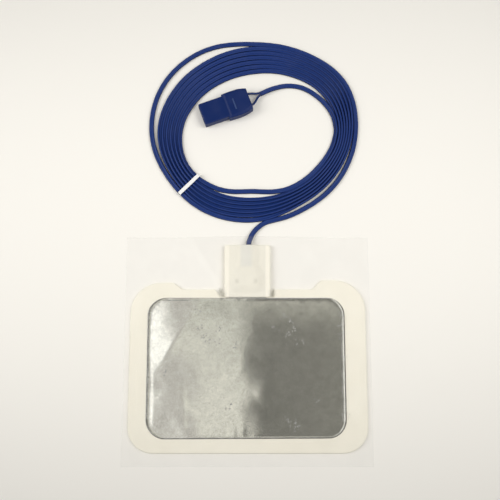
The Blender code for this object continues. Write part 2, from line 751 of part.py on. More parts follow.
def fill_grip(build):
    """Upright sides between two flat faces, with shoulders that slope in to each face."""
    outline = grip_outline()
    face = [shoulder_point(x, y) for x, y in outline]
    levels = [(face, 0.0), (outline, SHOULDER_DROP)]
    levels += [(outline, GRIP_HEIGHT - SHOULDER_DROP), (face, GRIP_HEIGHT)]
    rings = [[build.verts.new((x, y, z)) for x, y in ring] for ring, z in levels]
    for lower, upper in zip(rings, rings[1:]):
        for i in range(len(outline)):
            build.faces.new((lower[i - 1], lower[i], upper[i], upper[i - 1]))
    build.faces.new(rings[0])
    build.faces.new(rings[-1])
    bmesh.ops.recalc_face_normals(build, faces=build.faces)
    round_edges(build, GRIP_ROUNDING, sharper_than=radians(18))


def fill_nose(build):
    low = PLUG_MIDDLE - NOSE_HEIGHT / 2
    half = NOSE_WIDTH / 2
    fill_box(build, (0.0, -half, low), (NOSE_LENGTH + NOSE_OVERLAP, half, low + NOSE_HEIGHT))
    round_edges(build, NOSE_ROUNDING)


def fill_rib(build):
    x = NOSE_LENGTH + RIB_BEHIND_STEP
    half = RIB_LENGTH / 2
    low = (x - RIB_WIDTH / 2, RIB_OFFSET - half, GRIP_HEIGHT - RIB_ROOT)
    high = (x + RIB_WIDTH / 2, RIB_OFFSET + half, GRIP_HEIGHT + RIB_HEIGHT)
    fill_box(build, low, high)
    round_edges(build, RIB_ROUNDING)


def add_cutters(empty):
    """Channels for the two contacts and the cores behind them."""
    back = CONTACT_RECESS + CONTACT_LENGTH + CONTACT_TAIL_LENGTH + TOUCH_GAP
    seat = (-CHANNEL_MARGIN, back, CONTACT_DIAMETER / 2 + SEAT_GAP)
    way = (back - CHANNEL_MARGIN, PLUG_LENGTH + CHANNEL_MARGIN, CORE_DIAMETER / 2 + SEAT_GAP)
    for y in (-CONTACT_SPACING / 2, CONTACT_SPACING / 2):
        for name, (start, end, radius) in (("contact_seat", seat), ("core_way", way)):

            def fill(build, start=start, end=end, radius=radius):
                fill_rod(build, start, end, y, PLUG_MIDDLE, radius)

            cutter = mesh_object(name, fill, CUTTERS)
            cutter.parent = empty
            hide_helper(cutter)


def hide_helper(thing):
    thing.hide_render = True
    thing.display_type = "WIRE"


def add_boolean(thing, operation, other):
    modifier = thing.modifiers.new(operation.lower(), "BOOLEAN")
    modifier.operation = operation
    if isinstance(other, bpy.types.Collection):
        modifier.operand_type = "COLLECTION"
        modifier.collection = other
    else:
        modifier.object = other


def make_shell(name, upper, empty, helpers, finish):
    """Half of the moulded housing: grip and nose joined, cut at the seam, with the channels cut out."""
    shell = mesh_object(name, fill_grip, PARTS)
    shell.data.materials.append(finish)
    shell.parent = empty
    nose = mesh_object(f"{name}_nose", fill_nose, helpers)
    seam = PLUG_MIDDLE + (SHELL_SEAM if upper else -SHELL_SEAM) / 2
    wide = GRIP_MIDDLE_WIDTH
    low, high = (-CUT_MARGIN, seam) if upper else (seam, GRIP_HEIGHT + CUT_MARGIN)
    start = (-CUT_MARGIN, -wide, low)
    end = (PLUG_LENGTH + CUT_MARGIN, wide, high)
    half = mesh_object(f"{name}_cut", lambda build: fill_box(build, start, end), helpers)
    for helper in (nose, half):
        helper.parent = empty
        hide_helper(helper)
    add_boolean(shell, "UNION", nose)
    if upper:
        rib = mesh_object(f"{name}_rib", fill_rib, helpers)
        rib.parent = empty
        hide_helper(rib)
        add_boolean(shell, "UNION", rib)
    add_boolean(shell, "DIFFERENCE", CUTTERS)
    add_boolean(shell, "DIFFERENCE", half)


def make_contact(side, sign, empty, finish):
    """A turned socket: bored for the pin in front, with a narrow tail that holds the core's bare end."""
    outer = CONTACT_DIAMETER / 2
    tail = CONTACT_TAIL_DIAMETER / 2
    wire = CONDUCTOR_DIAMETER / 2 + SEAT_GAP
    back = CONTACT_LENGTH + CONTACT_TAIL_LENGTH
    bore = CONTACT_BORE / 2
    chamfer = CONTACT_CHAMFER
    profile = [(0.0, CONTACT_BORE_DEPTH), (bore, CONTACT_BORE_DEPTH), (bore, chamfer)]
    profile += [(bore + chamfer, 0.0), (outer, 0.0), (outer, CONTACT_LENGTH)]
    profile += [(tail, CONTACT_LENGTH + chamfer), (tail, back), (wire, back)]
    profile += [(wire, back - WIRE_GRIP_LENGTH), (0.0, back - WIRE_GRIP_LENGTH)]

    def fill_profile(build):
        verts = [build.verts.new((radius, 0.0, along)) for radius, along in profile]
        for a, b in zip(verts, verts[1:]):
            build.edges.new((a, b))

    contact = mesh_object(f"plug_contact_{side}", fill_profile, PARTS)
    contact.data.materials.append(finish)
    turned = contact.modifiers.new("turned", "SCREW")
    turned.steps = 20
    turned.render_steps = 20
    turned.use_merge_vertices = True
    turned.merge_threshold = 0.001 * MM
    turned.use_normal_flip = True
    contact.parent = empty
    contact.location = (CONTACT_RECESS, sign * CONTACT_SPACING / 2, PLUG_MIDDLE)
    contact.rotation_euler.y = pi / 2


def make_plug_core(side, sign, finish):
    """A core from its contact, out of the housing's back and down to the end of the twin cord."""
    tail_end = CONTACT_RECESS + CONTACT_LENGTH + CONTACT_TAIL_LENGTH
    y = sign * CONTACT_SPACING / 2
    frame = plug_matrix()
    insulated = tail_end + TOUCH_GAP
    tip = tail_end - WIRE_GRIP_LENGTH + WIRE_END_GAP
    split = PLUG_LENGTH + SPLIT_BEHIND_PLUG - TOUCH_GAP
    beside = SPLIT_OFFSET + sign * CORE_PITCH / 2
    sag = (PLUG_MIDDLE + SPLIT_HEIGHT) / 2
    knots = [(insulated + STRIPPED_STEP, y, PLUG_MIDDLE)]
    knots += [(PLUG_LENGTH - CORE_HELD_LENGTH, y, PLUG_MIDDLE)]
    knots += [(PLUG_LENGTH + CORE_STRAIGHT_LENGTH, y, PLUG_MIDDLE)]
    knots += [(PLUG_LENGTH + SPLIT_BEHIND_PLUG * 0.45, y * 0.62 + beside * 0.38, sag)]
    knots += [(split - SPLIT_STRAIGHT, beside, SPLIT_HEIGHT), (split, beside, SPLIT_HEIGHT)]
    path = [Vector((tip, y, PLUG_MIDDLE)), Vector((insulated, y, PLUG_MIDDLE))]
    path += smooth_path(knots, CORE_POINT_SPACING)
    bare = CONDUCTOR_DIAMETER / CORE_DIAMETER
    widths = [bare, bare] + [1.0] * (len(path) - 2)
    add_tube(f"plug_core_{side}", [frame @ p for p in path], CORE_DIAMETER, finish, widths)


def make_plug():
    empty = add_plug_empty()
    helpers = add_collection("plug_helpers")
    add_cutters(empty)
    shell_finish = add_material("plug_blue", (0.01, 0.025, 0.135), 0.35)
    brass = add_material("contact_brass", (0.80, 0.62, 0.30), 0.25, metallic=1.0)
    core_finish = add_material("plug_core_blue", (0.01, 0.022, 0.13), 0.4)
    make_shell("plug_lower_shell", False, empty, helpers, shell_finish)
    make_shell("plug_upper_shell", True, empty, helpers, shell_finish.copy())
    for side, sign in (("left", 1), ("right", -1)):
        make_contact(side, sign, empty, brass.copy())
        make_plug_core(side, sign, core_finish.copy())


make_backing_foam()
make_foil_plate()
make_gel_layer()
make_tab()
make_release_film()
make_cord()
make_coil_tie()
make_plug()
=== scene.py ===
# %% [markdown]
# # A patient return electrode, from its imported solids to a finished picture
#
# The real object is a thin laminate: cream foam, an aluminium foil plate, a layer of clear wet gel and a
# clear release film. A flat blue twin cord leaves its tab, lies in one coil and ends in a moulded plug.
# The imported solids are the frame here. They say where each piece is, and this file gives the pieces
# their surfaces, so nothing is moved or resized.

# %% Load the frame
from math import acos, ceil, cos, degrees, exp, floor, hypot, pi, radians, sin

import bmesh
import bpy
import numpy as np
from mathutils import Matrix, Vector, geometry, noise


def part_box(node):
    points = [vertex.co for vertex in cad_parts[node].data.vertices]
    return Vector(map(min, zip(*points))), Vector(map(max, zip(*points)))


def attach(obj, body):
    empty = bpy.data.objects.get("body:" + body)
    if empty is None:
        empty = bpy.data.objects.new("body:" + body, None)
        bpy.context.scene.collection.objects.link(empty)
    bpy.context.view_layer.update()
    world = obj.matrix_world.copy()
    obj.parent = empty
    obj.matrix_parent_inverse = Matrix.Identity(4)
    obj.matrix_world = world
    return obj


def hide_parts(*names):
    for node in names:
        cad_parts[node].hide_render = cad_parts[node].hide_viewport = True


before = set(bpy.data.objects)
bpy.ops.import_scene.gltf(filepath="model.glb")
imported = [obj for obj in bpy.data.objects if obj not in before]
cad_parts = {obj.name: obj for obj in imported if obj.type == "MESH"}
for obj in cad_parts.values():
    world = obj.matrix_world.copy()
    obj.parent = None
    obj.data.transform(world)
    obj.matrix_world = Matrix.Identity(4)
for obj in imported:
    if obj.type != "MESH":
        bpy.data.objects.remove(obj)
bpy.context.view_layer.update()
MM = 0.001
print("the frame has", len(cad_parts), "nodes")

# %% [markdown]
# ## The places that everything shares
#
# A scene that is fitted to a frame should read its sizes from the frame. Only what the solids can't tell,
# such as how far the gel stops short of the foil's edge, is written here as a number.

# %% Read the main sizes
foam_low, foam_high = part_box("backing_foam")
foil_low, foil_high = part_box("foil_plate")
gel_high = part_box("gel_layer")[1]
cover_low, cover_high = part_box("tab_cover_foam")
film_low, film_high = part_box("release_liner")

GEL_INSET = 1.2 * MM
FOIL_HALF_WIDTH = foil_high.x
FOIL_END = gel_high.y + GEL_INSET
TAB_HALF_WIDTH = cover_high.x
TAB_END = foam_high.y
FOAM_TOP = foam_high.z
FOIL_BOTTOM = foil_low.z
FOIL_THICKNESS = foil_high.z - foil_low.z
print("foil plate", round(foil_high.x * 2000), "x", round(FOIL_END * 2000), "mm")
print("tab", round(TAB_HALF_WIDTH * 2000, 1), "mm wide, to y =", round(TAB_END * 1000, 1), "mm")

# %% [markdown]
# ## Camera
#
# The pad lies on a table and the picture is taken from above it, a little from the pad's side. A camera
# looks along its own -Z, so one turn about X is all that such a view needs. The lens follows from the
# distance and from how many millimetres of table one picture pixel covers: it is to its sensor's width
# as the distance is to the width of table that the picture shows.

# %% Place the camera
PICTURE_WIDTH = 500
MM_PER_PIXEL = 0.722
CAMERA_DISTANCE = 600 * MM
CAMERA_TILT = radians(10.5)
VIEW_MIDDLE = Vector((1.9, 83.5, 0.0)) * MM
SENSOR_WIDTH = 36.0
NEAREST_SEEN = 10 * MM


def add_object(name, data):
    """A new object with this data, in the scene."""
    thing = bpy.data.objects.new(name, data)
    bpy.context.scene.collection.objects.link(thing)
    return thing


def place_camera():
    data = bpy.data.cameras.new("camera")
    data.sensor_width = SENSOR_WIDTH
    data.lens = SENSOR_WIDTH * CAMERA_DISTANCE / (PICTURE_WIDTH * MM_PER_PIXEL * MM)
    data.clip_start = NEAREST_SEEN
    camera = add_object("camera", data)
    look = Vector((0.0, sin(CAMERA_TILT), -cos(CAMERA_TILT)))
    camera.location = VIEW_MIDDLE - look * CAMERA_DISTANCE
    camera.rotation_euler.x = CAMERA_TILT
    bpy.context.scene.camera = camera
    return camera


camera = place_camera()
print("lens", round(camera.data.lens, 1), "mm")

# %% [markdown]
# ## Small helpers for node trees
#
# Node trees read best when a value and a link are given the same way. `feed` puts either into a socket,
# `add_node` adds a node with all that it needs, and each of the others adds one kind and gives back its
# result. Patterns are placed by Object coordinates, which are metres here, so a noise of scale 2500 has
# grains of about 0.4 mm.

# %% Helpers for nodes
# Noise has nearly all its values between these two
NOISE_RANGE = (0.3, 0.7)


def feed(tree, socket, value):
    if isinstance(value, bpy.types.NodeSocket):
        tree.links.new(value, socket)
    else:
        socket.default_value = value


def add_node(tree, kind, fed=None, **settings):
    """A new node with its settings, and with a value or a link in each input that is fed."""
    node = tree.nodes.new(kind)
    for name, value in settings.items():
        setattr(node, name, value)
    for name, value in (fed or {}).items():
        feed(tree, node.inputs[name], value)
    return node


def calculate(tree, operation, *values, clamp=False):
    fed = dict(enumerate(values))
    return add_node(tree, "ShaderNodeMath", fed, operation=operation, use_clamp=clamp).outputs[0]


def times(tree, first, second):
    return calculate(tree, "MULTIPLY", first, second)


def plus(tree, first, second):
    return calculate(tree, "ADD", first, second)


def axes_of(tree, vector):
    """The sockets X, Y and Z of a vector."""
    return add_node(tree, "ShaderNodeSeparateXYZ", {0: vector}).outputs


def remap(tree, value, low, high, to_low=0.0, to_high=1.0, smooth=True):
    """The value mapped from one range to another, eased at both ends."""
    fed = {"Value": value, "From Min": low, "From Max": high, "To Min": to_low, "To Max": to_high}
    easing = "SMOOTHSTEP" if smooth else "LINEAR"
    return add_node(tree, "ShaderNodeMapRange", fed, interpolation_type=easing).outputs["Result"]


def blend_colours(tree, share, first, second, mode="MIX"):
    fed = {0: share, 6: first, 7: second}
    return add_node(tree, "ShaderNodeMix", fed, data_type="RGBA", blend_type=mode).outputs[2]


def noise_value(tree, place, scale, detail=2.0, roughness=0.5):
    fed = {"Vector": place, "Scale": scale, "Detail": detail, "Roughness": roughness}
    return add_node(tree, "ShaderNodeTexNoise", fed).outputs["Fac"]


def object_place(tree):
    return add_node(tree, "ShaderNodeTexCoord").outputs["Object"]


def attribute_of(tree, name):
    """The sockets of an attribute that the mesh carries."""
    return add_node(tree, "ShaderNodeAttribute", attribute_name=name).outputs


def bump(tree, height, distance, strength=1.0):
    fed = {"Height": height, "Distance": distance, "Strength": strength}
    return add_node(tree, "ShaderNodeBump", fed).outputs["Normal"]


print("node helpers ready")

# %% [markdown]
# ## Materials and groups
#
# Every finish here is one Principled shader that a few nodes feed. What two finishes share goes into a
# node group, which is a tree of its own with named sockets, and each material places it with its own
# values.

# %% Helpers for materials


def new_material(name, colour, roughness, metallic=0.0):
    """A material with one Principled BSDF, and its tree and shader."""
    material = bpy.data.materials.new(name)
    material.use_nodes = True
    tree = material.node_tree
    shader = tree.nodes["Principled BSDF"]
    shader.inputs["Base Color"].default_value = (*colour, 1.0)
    shader.inputs["Roughness"].default_value = roughness
    shader.inputs["Metallic"].default_value = metallic
    return material, tree, shader


def new_group(name, inputs, outputs):
    """An empty shader group. inputs are (name, kind, value), outputs are (name, kind)."""
    tree = bpy.data.node_groups.new(name, "ShaderNodeTree")
    for label, kind, value in inputs:
        socket = tree.interface.new_socket(name=label, in_out="INPUT", socket_type=kind)
        socket.default_value = value
    for label, kind in outputs:
        tree.interface.new_socket(name=label, in_out="OUTPUT", socket_type=kind)
    return tree, tree.nodes.new("NodeGroupInput"), tree.nodes.new("NodeGroupOutput")


def use_group(tree, group, values):
    """Puts a group in a material, with a value for each input that is named."""
    return add_node(tree, "ShaderNodeGroup", values, node_tree=group)


print("material helpers ready")

# %% [markdown]
# ## The cord's route
#
# The real cord is about 3 m of flat twin lead: two cores side by side. It was wound by hand, so its
# turns aren't circles. A table gives the distance from the coil's middle every 30 degrees: once for the
# loose first turn, once for the edge of the winding, and once for the width that a turn takes there.
# A smooth blend of those keys then gives the route at any angle, for all the turns.

# %% Keys of the coil
CORE_DIAMETER = 1.8 * MM
CORE_PITCH = 1.8 * MM
CORD_WIDTH = CORE_PITCH + CORE_DIAMETER
COIL_X = 3.5 * MM
COIL_Y = 171.6 * MM
KEY_STEP = 30.0
JOIN_ANGLE = 300.0
KEYS_PER_TURN = 12
LOOSE_TURN = [68.8, 72.7, 76.5, 79.2, 73.0, 69.8, 73.9, 76.0, 74.3, 70.1, 68.3, 66.2]
WINDING_EDGE = [65.5, 69.2, 74.1, 77.3, 71.2, 67.9, 66.4, 67.9, 70.0, 67.7, 66.8, 64.3]
TURN_PITCH = [2.31, 2.07, 1.83, 2.92, 3.25, 3.70, 3.62, 3.42, 3.07, 2.50, 2.95, 2.95]
LAST_TURN = [49.6, 44.7, 49.9, 55.1, 61.8]
FULL_TURNS = 6
LAST_LEAN = radians(50)
LAST_TURN_KEY = KEYS_PER_TURN * (FULL_TURNS + 1) - 2
LEANS_FROM_KEY = LAST_TURN_KEY + 4
LEAVES_ANGLE = 360 * (FULL_TURNS + 2)
# The cord rides over the band here: at this angle, by this much, over this many degrees
TIE_ANGLE = 221.0
TIE_LIFT = 0.32 * MM
TIE_LIFT_REACH = 7.0


def between(before, start, end, after, share):
    """A Catmull-Rom blend of four values or vectors, between the middle two."""
    a = start * 2
    b = (end - before) * share
    c = (before * 2 - start * 5 + end * 4 - after) * share**2
    d = (start * 3 - before - end * 3 + after) * share**3
    return (a + b + c + d) * 0.5


def key_radius(key):
    """Distance from the coil's middle to the cord's, at a key angle counted from the join."""
    if key < KEYS_PER_TURN:
        return LOOSE_TURN[max(key, 0)] * MM
    if key >= LAST_TURN_KEY:
        return LAST_TURN[min(key - LAST_TURN_KEY, len(LAST_TURN) - 1)] * MM
    turns_in, place = divmod(key - KEYS_PER_TURN, KEYS_PER_TURN)
    return (WINDING_EDGE[place] - TURN_PITCH[place] * (0.5 + turns_in)) * MM


def key_lean(key):
    """How far the flat cord leans: a turn narrower than the cord makes it stand up."""
    if key < KEYS_PER_TURN or key >= LAST_TURN_KEY:
        return LAST_LEAN if key >= LEANS_FROM_KEY else 0.0
    return acos(min(1.0, TURN_PITCH[key % KEYS_PER_TURN] * MM / CORD_WIDTH))


def at_angle(key_value, angle):
    """A key value at any angle, in degrees counted up from the join."""
    place = (angle - JOIN_ANGLE) / KEY_STEP
    key = floor(place)
    return between(*[key_value(key + i) for i in (-1, 0, 1, 2)], place - key)


def coil_point(angle):
    radius = at_angle(key_radius, angle)
    lean = max(0.0, at_angle(key_lean, angle))
    from_tie = (angle - TIE_ANGLE + 180) % 360 - 180
    lift = TIE_LIFT / (1 + (from_tie / TIE_LIFT_REACH) ** 4)
    height = CORE_DIAMETER / 2 + CORE_PITCH / 2 * sin(lean) + lift
    turn = radians(angle)
    return Vector((COIL_X + radius * cos(turn), COIL_Y + radius * sin(turn), height)), lean


print("the turns are", round(degrees(key_lean(14))), "degrees on edge where they are tightest")

# %% [markdown]
# Outside the coil the route is a short list of given points: out of the tab and down to the
# table, and from the coil's inside across to the plug. One smooth curve then goes through all the
# points, and it is read off again at even steps.

# %% The whole route
LEAD_POINTS = [(0.7, 86.5, 2.75), (0.7, 87.0, 2.74), (1.1, 88.6, 2.55), (2.0, 91.2, 2.1)]
LEAD_POINTS += [(3.7, 95.0, 1.4), (7.0, 99.2, 0.95), (12.8, 103.4, 0.9), (20.9, 105.7, 0.9)]
LEAD_POINTS += [(29.5, 108.2, 0.9)]
TAIL_POINTS = [(65.1, 177.0, 1.6), (64.0, 182.8, 1.5), (61.4, 188.8, 1.33), (57.3, 194.6, 1.12)]
TAIL_POINTS += [(51.6, 200.2, 0.9), (44.6, 204.9, 0.9), (37.6, 207.5, 0.9), (28.6, 208.1, 1.0)]
TAIL_POINTS += [(18.6, 205.5, 1.7)]
SETTLING_POINTS = 4
ROUTE_STEP = KEY_STEP / 3
STEPS_PER_POINT = 12
RING_SPACING = 2.7 * MM
PLUG_X = -33.6 * MM
PLUG_Y = 183.3 * MM
PLUG_ANGLE = radians(20.0)
PLUG_LENGTH = 37.4 * MM
SPLIT_BEHIND_PLUG = 9.0 * MM
SPLIT_OFFSET = 2.0 * MM
SPLIT_HEIGHT = 2.6 * MM

plug_frame = Matrix.Translation((PLUG_X, PLUG_Y, 0.0)) @ Matrix.Rotation(PLUG_ANGLE, 4, "Z")
split_point = plug_frame @ Vector((PLUG_LENGTH + SPLIT_BEHIND_PLUG, SPLIT_OFFSET, SPLIT_HEIGHT))


def cord_route():
    """Rough points of the whole route, each with its lean."""
    route = [(Vector(point) * MM, 0.0) for point in LEAD_POINTS]
    angles = np.arange(JOIN_ANGLE, LEAVES_ANGLE + 1, ROUTE_STEP)
    route += [coil_point(float(angle)) for angle in angles]
    settling = [LAST_LEAN * max(0.0, 1 - i / SETTLING_POINTS) for i in range(len(TAIL_POINTS))]
    route += [(Vector(point) * MM, lean) for point, lean in zip(TAIL_POINTS, settling)]
    return route + [(split_point, 0.0)]


def even_path(route, spacing):
    """The route's points and leans at even steps along a smooth curve through it."""
    rows = [Vector((*point, lean * MM)) for point, lean in route]
    rows = [rows[0] * 2 - rows[1]] + rows + [rows[-1] * 2 - rows[-2]]
    fine = []
    shares = [step / STEPS_PER_POINT for step in range(STEPS_PER_POINT)]
    for i in range(1, len(rows) - 2):
        fine += [between(*rows[i - 1 : i + 3], share) for share in shares]
    fine = np.array([list(row) for row in fine + [rows[-2]]])
    steps = np.linalg.norm(np.diff(fine[:, :3], axis=0), axis=1)
    along = np.concatenate([[0.0], np.cumsum(steps)])
    places = np.linspace(0.0, along[-1], ceil(along[-1] / spacing) + 1)
    even = np.stack([np.interp(places, along, fine[:, i]) for i in range(4)], axis=1)
    return [Vector(row[:3]) for row in even], [row[3] / MM for row in even], float(along[-1])


cord_path, cord_leans, cord_length = even_path(cord_route(), RING_SPACING)
print("the cord is", round(cord_length, 3), "m long, in", len(cord_path), "rings")

# %% [markdown]
# ## Geometry nodes, from a tree to a plain mesh
#
# A geometry node tree is a recipe with named inputs. Here it runs once, on a simple object, and what
# comes out is kept as a plain mesh, so that later steps and an export meet ordinary faces. Instances
# are made real first, because an export drops them.

# %% Helpers for geometry trees


def geometry_tree(name, inputs):
    """A tree with one geometry in and out, and named inputs. Returns it with its two ends."""
    tree = bpy.data.node_groups.new(name, "GeometryNodeTree")
    tree.interface.new_socket(name="Geometry", in_out="INPUT", socket_type="NodeSocketGeometry")
    for label, kind in inputs:
        tree.interface.new_socket(name=label, in_out="INPUT", socket_type=kind)
    tree.interface.new_socket(name="Geometry", in_out="OUTPUT", socket_type="NodeSocketGeometry")
    return tree, tree.nodes.new("NodeGroupInput"), tree.nodes.new("NodeGroupOutput")


def set_inputs(modifier, values):
    """Sets a tree's inputs on its modifier, by the identifier of each named socket."""
    for item in modifier.node_group.interface.items_tree:
        if item.in_out == "INPUT" and item.name in values:
            modifier[item.identifier] = values[item.name]


def finish_tree(tree, geometry_socket, start, end):
    """Real geometry with the chosen material, as the last two steps of a tree."""
    real = add_node(tree, "GeometryNodeRealizeInstances", {0: geometry_socket})
    fed = {"Geometry": real.outputs[0], "Material": start.outputs["Material"]}
    paint = add_node(tree, "GeometryNodeSetMaterial", fed)
    tree.links.new(paint.outputs[0], end.inputs[0])


def settle(thing, tree, values):
    """Runs a tree on an object and keeps the plain mesh that comes out, under the object's name."""
    modifier = thing.modifiers.new("shape", "NODES")
    modifier.node_group = tree
    set_inputs(modifier, values)
    bpy.context.view_layer.update()
    depsgraph = bpy.context.evaluated_depsgraph_get()
    mesh = bpy.data.meshes.new_from_object(thing.evaluated_get(depsgraph))
    name = thing.name
    bpy.data.objects.remove(thing, do_unlink=True)
    mesh.name = name
    return add_object(name, mesh)


print("geometry helpers ready")

# %% [markdown]
# ## The cord as geometry nodes
#
# The cord's section is a figure of eight: two round cores joined by a thin web. One section swept along
# one path is what Curve to Mesh does, and a small tree lets the section follow from three named sizes.
# The path's tilt leans each turn on its neighbour. The tree also keeps how far each point of the skin
# faces up, for the finish to paint shade into the grooves between the turns.

# %% The twin cord's tree
WEB_THICKNESS = 0.8 * MM
SECTION_POINTS = 28


def twin_section(tree, start):
    """A closed curve in the shape of two touching circles, from the core's diameter and pitch."""
    radius = times(tree, start.outputs["Core Diameter"], 0.5)
    half_pitch = times(tree, start.outputs["Core Pitch"], 0.5)
    half_web = times(tree, start.outputs["Web"], 0.5)
    fed = {"Resolution": SECTION_POINTS, "Radius": plus(tree, radius, half_pitch)}
    circle = add_node(tree, "GeometryNodeCurvePrimitiveCircle", fed)
    position = axes_of(tree, add_node(tree, "GeometryNodeInputPosition").outputs[0])
    across = calculate(tree, "ABSOLUTE", position["X"])
    off = calculate(tree, "SUBTRACT", across, half_pitch)
    square = calculate(tree, "SUBTRACT", times(tree, radius, radius), times(tree, off, off))
    lobe = calculate(tree, "SQRT", calculate(tree, "MAXIMUM", square, 0.0))
    web = times(tree, half_web, calculate(tree, "LESS_THAN", across, half_pitch))
    side = calculate(tree, "SIGN", position["Y"])
    height = times(tree, calculate(tree, "MAXIMUM", lobe, web), side)
    spot = add_node(tree, "ShaderNodeCombineXYZ", {"X": position["X"], "Y": height})
    fed = {"Geometry": circle.outputs["Curve"], "Position": spot.outputs[0]}
    return add_node(tree, "GeometryNodeSetPosition", fed).outputs[0]


def sweep_tree():
    sizes = [("Core Diameter", "NodeSocketFloat"), ("Core Pitch", "NodeSocketFloat")]
    sizes += [("Web", "NodeSocketFloat"), ("Material", "NodeSocketMaterial")]
    tree, start, end = geometry_tree("twin_cord_sweep", sizes)
    fed = {"Curve": start.outputs["Geometry"]}
    level = add_node(tree, "GeometryNodeSetCurveNormal", fed, mode="Z_UP")
    fed = {"Curve": level.outputs[0], "Profile Curve": twin_section(tree, start), "Fill Caps": True}
    sweep = add_node(tree, "GeometryNodeCurveToMesh", fed)
    smooth = add_node(tree, "GeometryNodeSetShadeSmooth", {"Geometry": sweep.outputs[0]})
    facing = axes_of(tree, add_node(tree, "GeometryNodeInputNormal").outputs[0])
    fed = {"Geometry": smooth.outputs[0], "Name": "up", "Value": facing["Z"]}
    kind = "GeometryNodeStoreNamedAttribute"
    mark = add_node(tree, kind, fed, data_type="FLOAT", domain="POINT")
    finish_tree(tree, mark.outputs[0], start, end)
    return tree


cord_tree = sweep_tree()
print("the cord's tree has", len(cord_tree.nodes), "nodes")

# %% [markdown]
# ## The cord's path
#
# The tree sweeps along a curve object. Its points are the route's, and each point's tilt is the lean
# that the cord has there. The finish comes next, because the tree sets the material as its last step.

# %% The path as a curve


def path_object(name, points, tilts):
    curve = bpy.data.curves.new(name, "CURVE")
    curve.dimensions = "3D"
    spline = curve.splines.new("POLY")
    spline.points.add(len(points) - 1)
    for knot, point, tilt in zip(spline.points, points, tilts):
        knot.co = (*point, 1.0)
        knot.tilt = tilt
    return add_object(name, curve)


cord_curve = path_object("twin_cord", cord_path, [-lean for lean in cord_leans])
print("the path has", len(cord_curve.data.splines[0].points), "points")

# %% [markdown]
# ## One finish for everything moulded in blue
#
# Cord, cores and plug are soft plastic in one dark blue. Such a surface is satin, with a very fine grain
# from the mould or the die, and with slightly lighter, duller patches where it was handled. The effect
# is one node group, used by each blue material and by the white band with values of its own. The cord
# adds a painted shade in the grooves between its turns, and the plug a painted highlight on its rib.

# %% The moulded skin group
PLUG_BLUE = (0.0012, 0.015, 0.098)
CORE_BLUE = (0.006, 0.022, 0.115)
# The cord's blue is lighter than the cores' for the lit crown of its turns, and the next colour is a
# painted shade for the grooves between them
CORD_BLUE = (0.010, 0.034, 0.168)
GROOVE_SHADE_BLUE = (0.002, 0.008, 0.050, 1.0)
# A painted highlight for the rib on top of the plug
RIB_HIGHLIGHT_BLUE = (0.035, 0.065, 0.18, 1.0)
HANDLED_GREY = (0.30, 0.32, 0.42, 1.0)
BAND_WHITE = (0.86, 0.86, 0.85)
SOFT_PLASTIC_SPECULAR = 0.2
# How much a handled patch changes the tone and the roughness, and how much the grain does
PATCH_TONE = 0.25
PATCH_DULL = 0.6
GRAIN_DULL = 0.08
# The heights over which the painted rib highlight comes in
RIB_HIGHLIGHT_HEIGHTS = (8.85 * MM, 9.1 * MM)
SKIN_OUTPUTS = [("Colour", "NodeSocketColor"), ("Roughness", "NodeSocketFloat")]
SKIN_OUTPUTS += [("Height", "NodeSocketFloat")]


def moulded_skin_group():
    inputs = [("Colour", "NodeSocketColor", (0.5, 0.5, 0.5, 1.0))]
    inputs += [("Grain", "NodeSocketFloat", 2500.0)]
    inputs += [("Handled", "NodeSocketFloat", 0.15), ("Shine", "NodeSocketFloat", 0.4)]
    tree, start, end = new_group("moulded_skin", inputs, SKIN_OUTPUTS)
    place = object_place(tree)
    plain = start.outputs["Colour"]
    grain = noise_value(tree, place, start.outputs["Grain"])
    cloud = noise_value(tree, place, 90.0, 3.0)
    patch = times(tree, remap(tree, cloud, 0.4, 0.75), start.outputs["Handled"])
    dull = blend_colours(tree, 0.5, plain, HANDLED_GREY)
    colour = blend_colours(tree, times(tree, patch, PATCH_TONE), plain, dull)
    shine = plus(tree, start.outputs["Shine"], times(tree, patch, PATCH_DULL))
    shine = plus(tree, shine, times(tree, grain, GRAIN_DULL))
    feed(tree, end.inputs["Colour"], colour)
    feed(tree, end.inputs["Roughness"], shine)
    feed(tree, end.inputs["Height"], grain)
    return tree


moulded_skin = moulded_skin_group()


def moulded_material(name, colour, shine, grain_depth, painted_shading=None):
    """Moulded plastic in one colour, with an optional function that paints light or shade into it by
    place.
    """
    material, tree, shader = new_material(name, colour, shine)
    skin = use_group(tree, moulded_skin, {"Colour": (*colour, 1.0), "Shine": shine})
    tone = skin.outputs["Colour"]
    feed(tree, shader.inputs["Base Color"], painted_shading(tree, tone) if painted_shading else tone)
    feed(tree, shader.inputs["Roughness"], skin.outputs["Roughness"])
    feed(tree, shader.inputs["Normal"], bump(tree, skin.outputs["Height"], grain_depth))
    shader.inputs["Specular IOR Level"].default_value = SOFT_PLASTIC_SPECULAR
    return material


def painted_groove_shade(tree, tone):
    """Painted shade: the cord's skin is darker where it turns to the side, in the grooves between its
    turns.
    """
    unshaded_crown = remap(tree, attribute_of(tree, "up")["Fac"], 0.45, 1.0)
    return blend_colours(tree, unshaded_crown, GROOVE_SHADE_BLUE, tone)


def painted_rib_highlight(tree, tone):
    """The rib on top of the plug stands proud and gets a painted highlight."""
    height = axes_of(tree, object_place(tree))["Z"]
    return blend_colours(tree, remap(tree, height, *RIB_HIGHLIGHT_HEIGHTS), tone, RIB_HIGHLIGHT_BLUE)


cord_skin = moulded_material("cord_skin", CORD_BLUE, 0.36, 0.02 * MM, painted_groove_shade)
cord_blue = moulded_material("cord_blue", CORE_BLUE, 0.36, 0.02 * MM)
plug_blue = moulded_material("plug_blue", PLUG_BLUE, 0.42, 0.03 * MM, painted_rib_highlight)
band_white = moulded_material("band_white", BAND_WHITE, 0.5, 0.02 * MM)
print("blue and white finishes made")

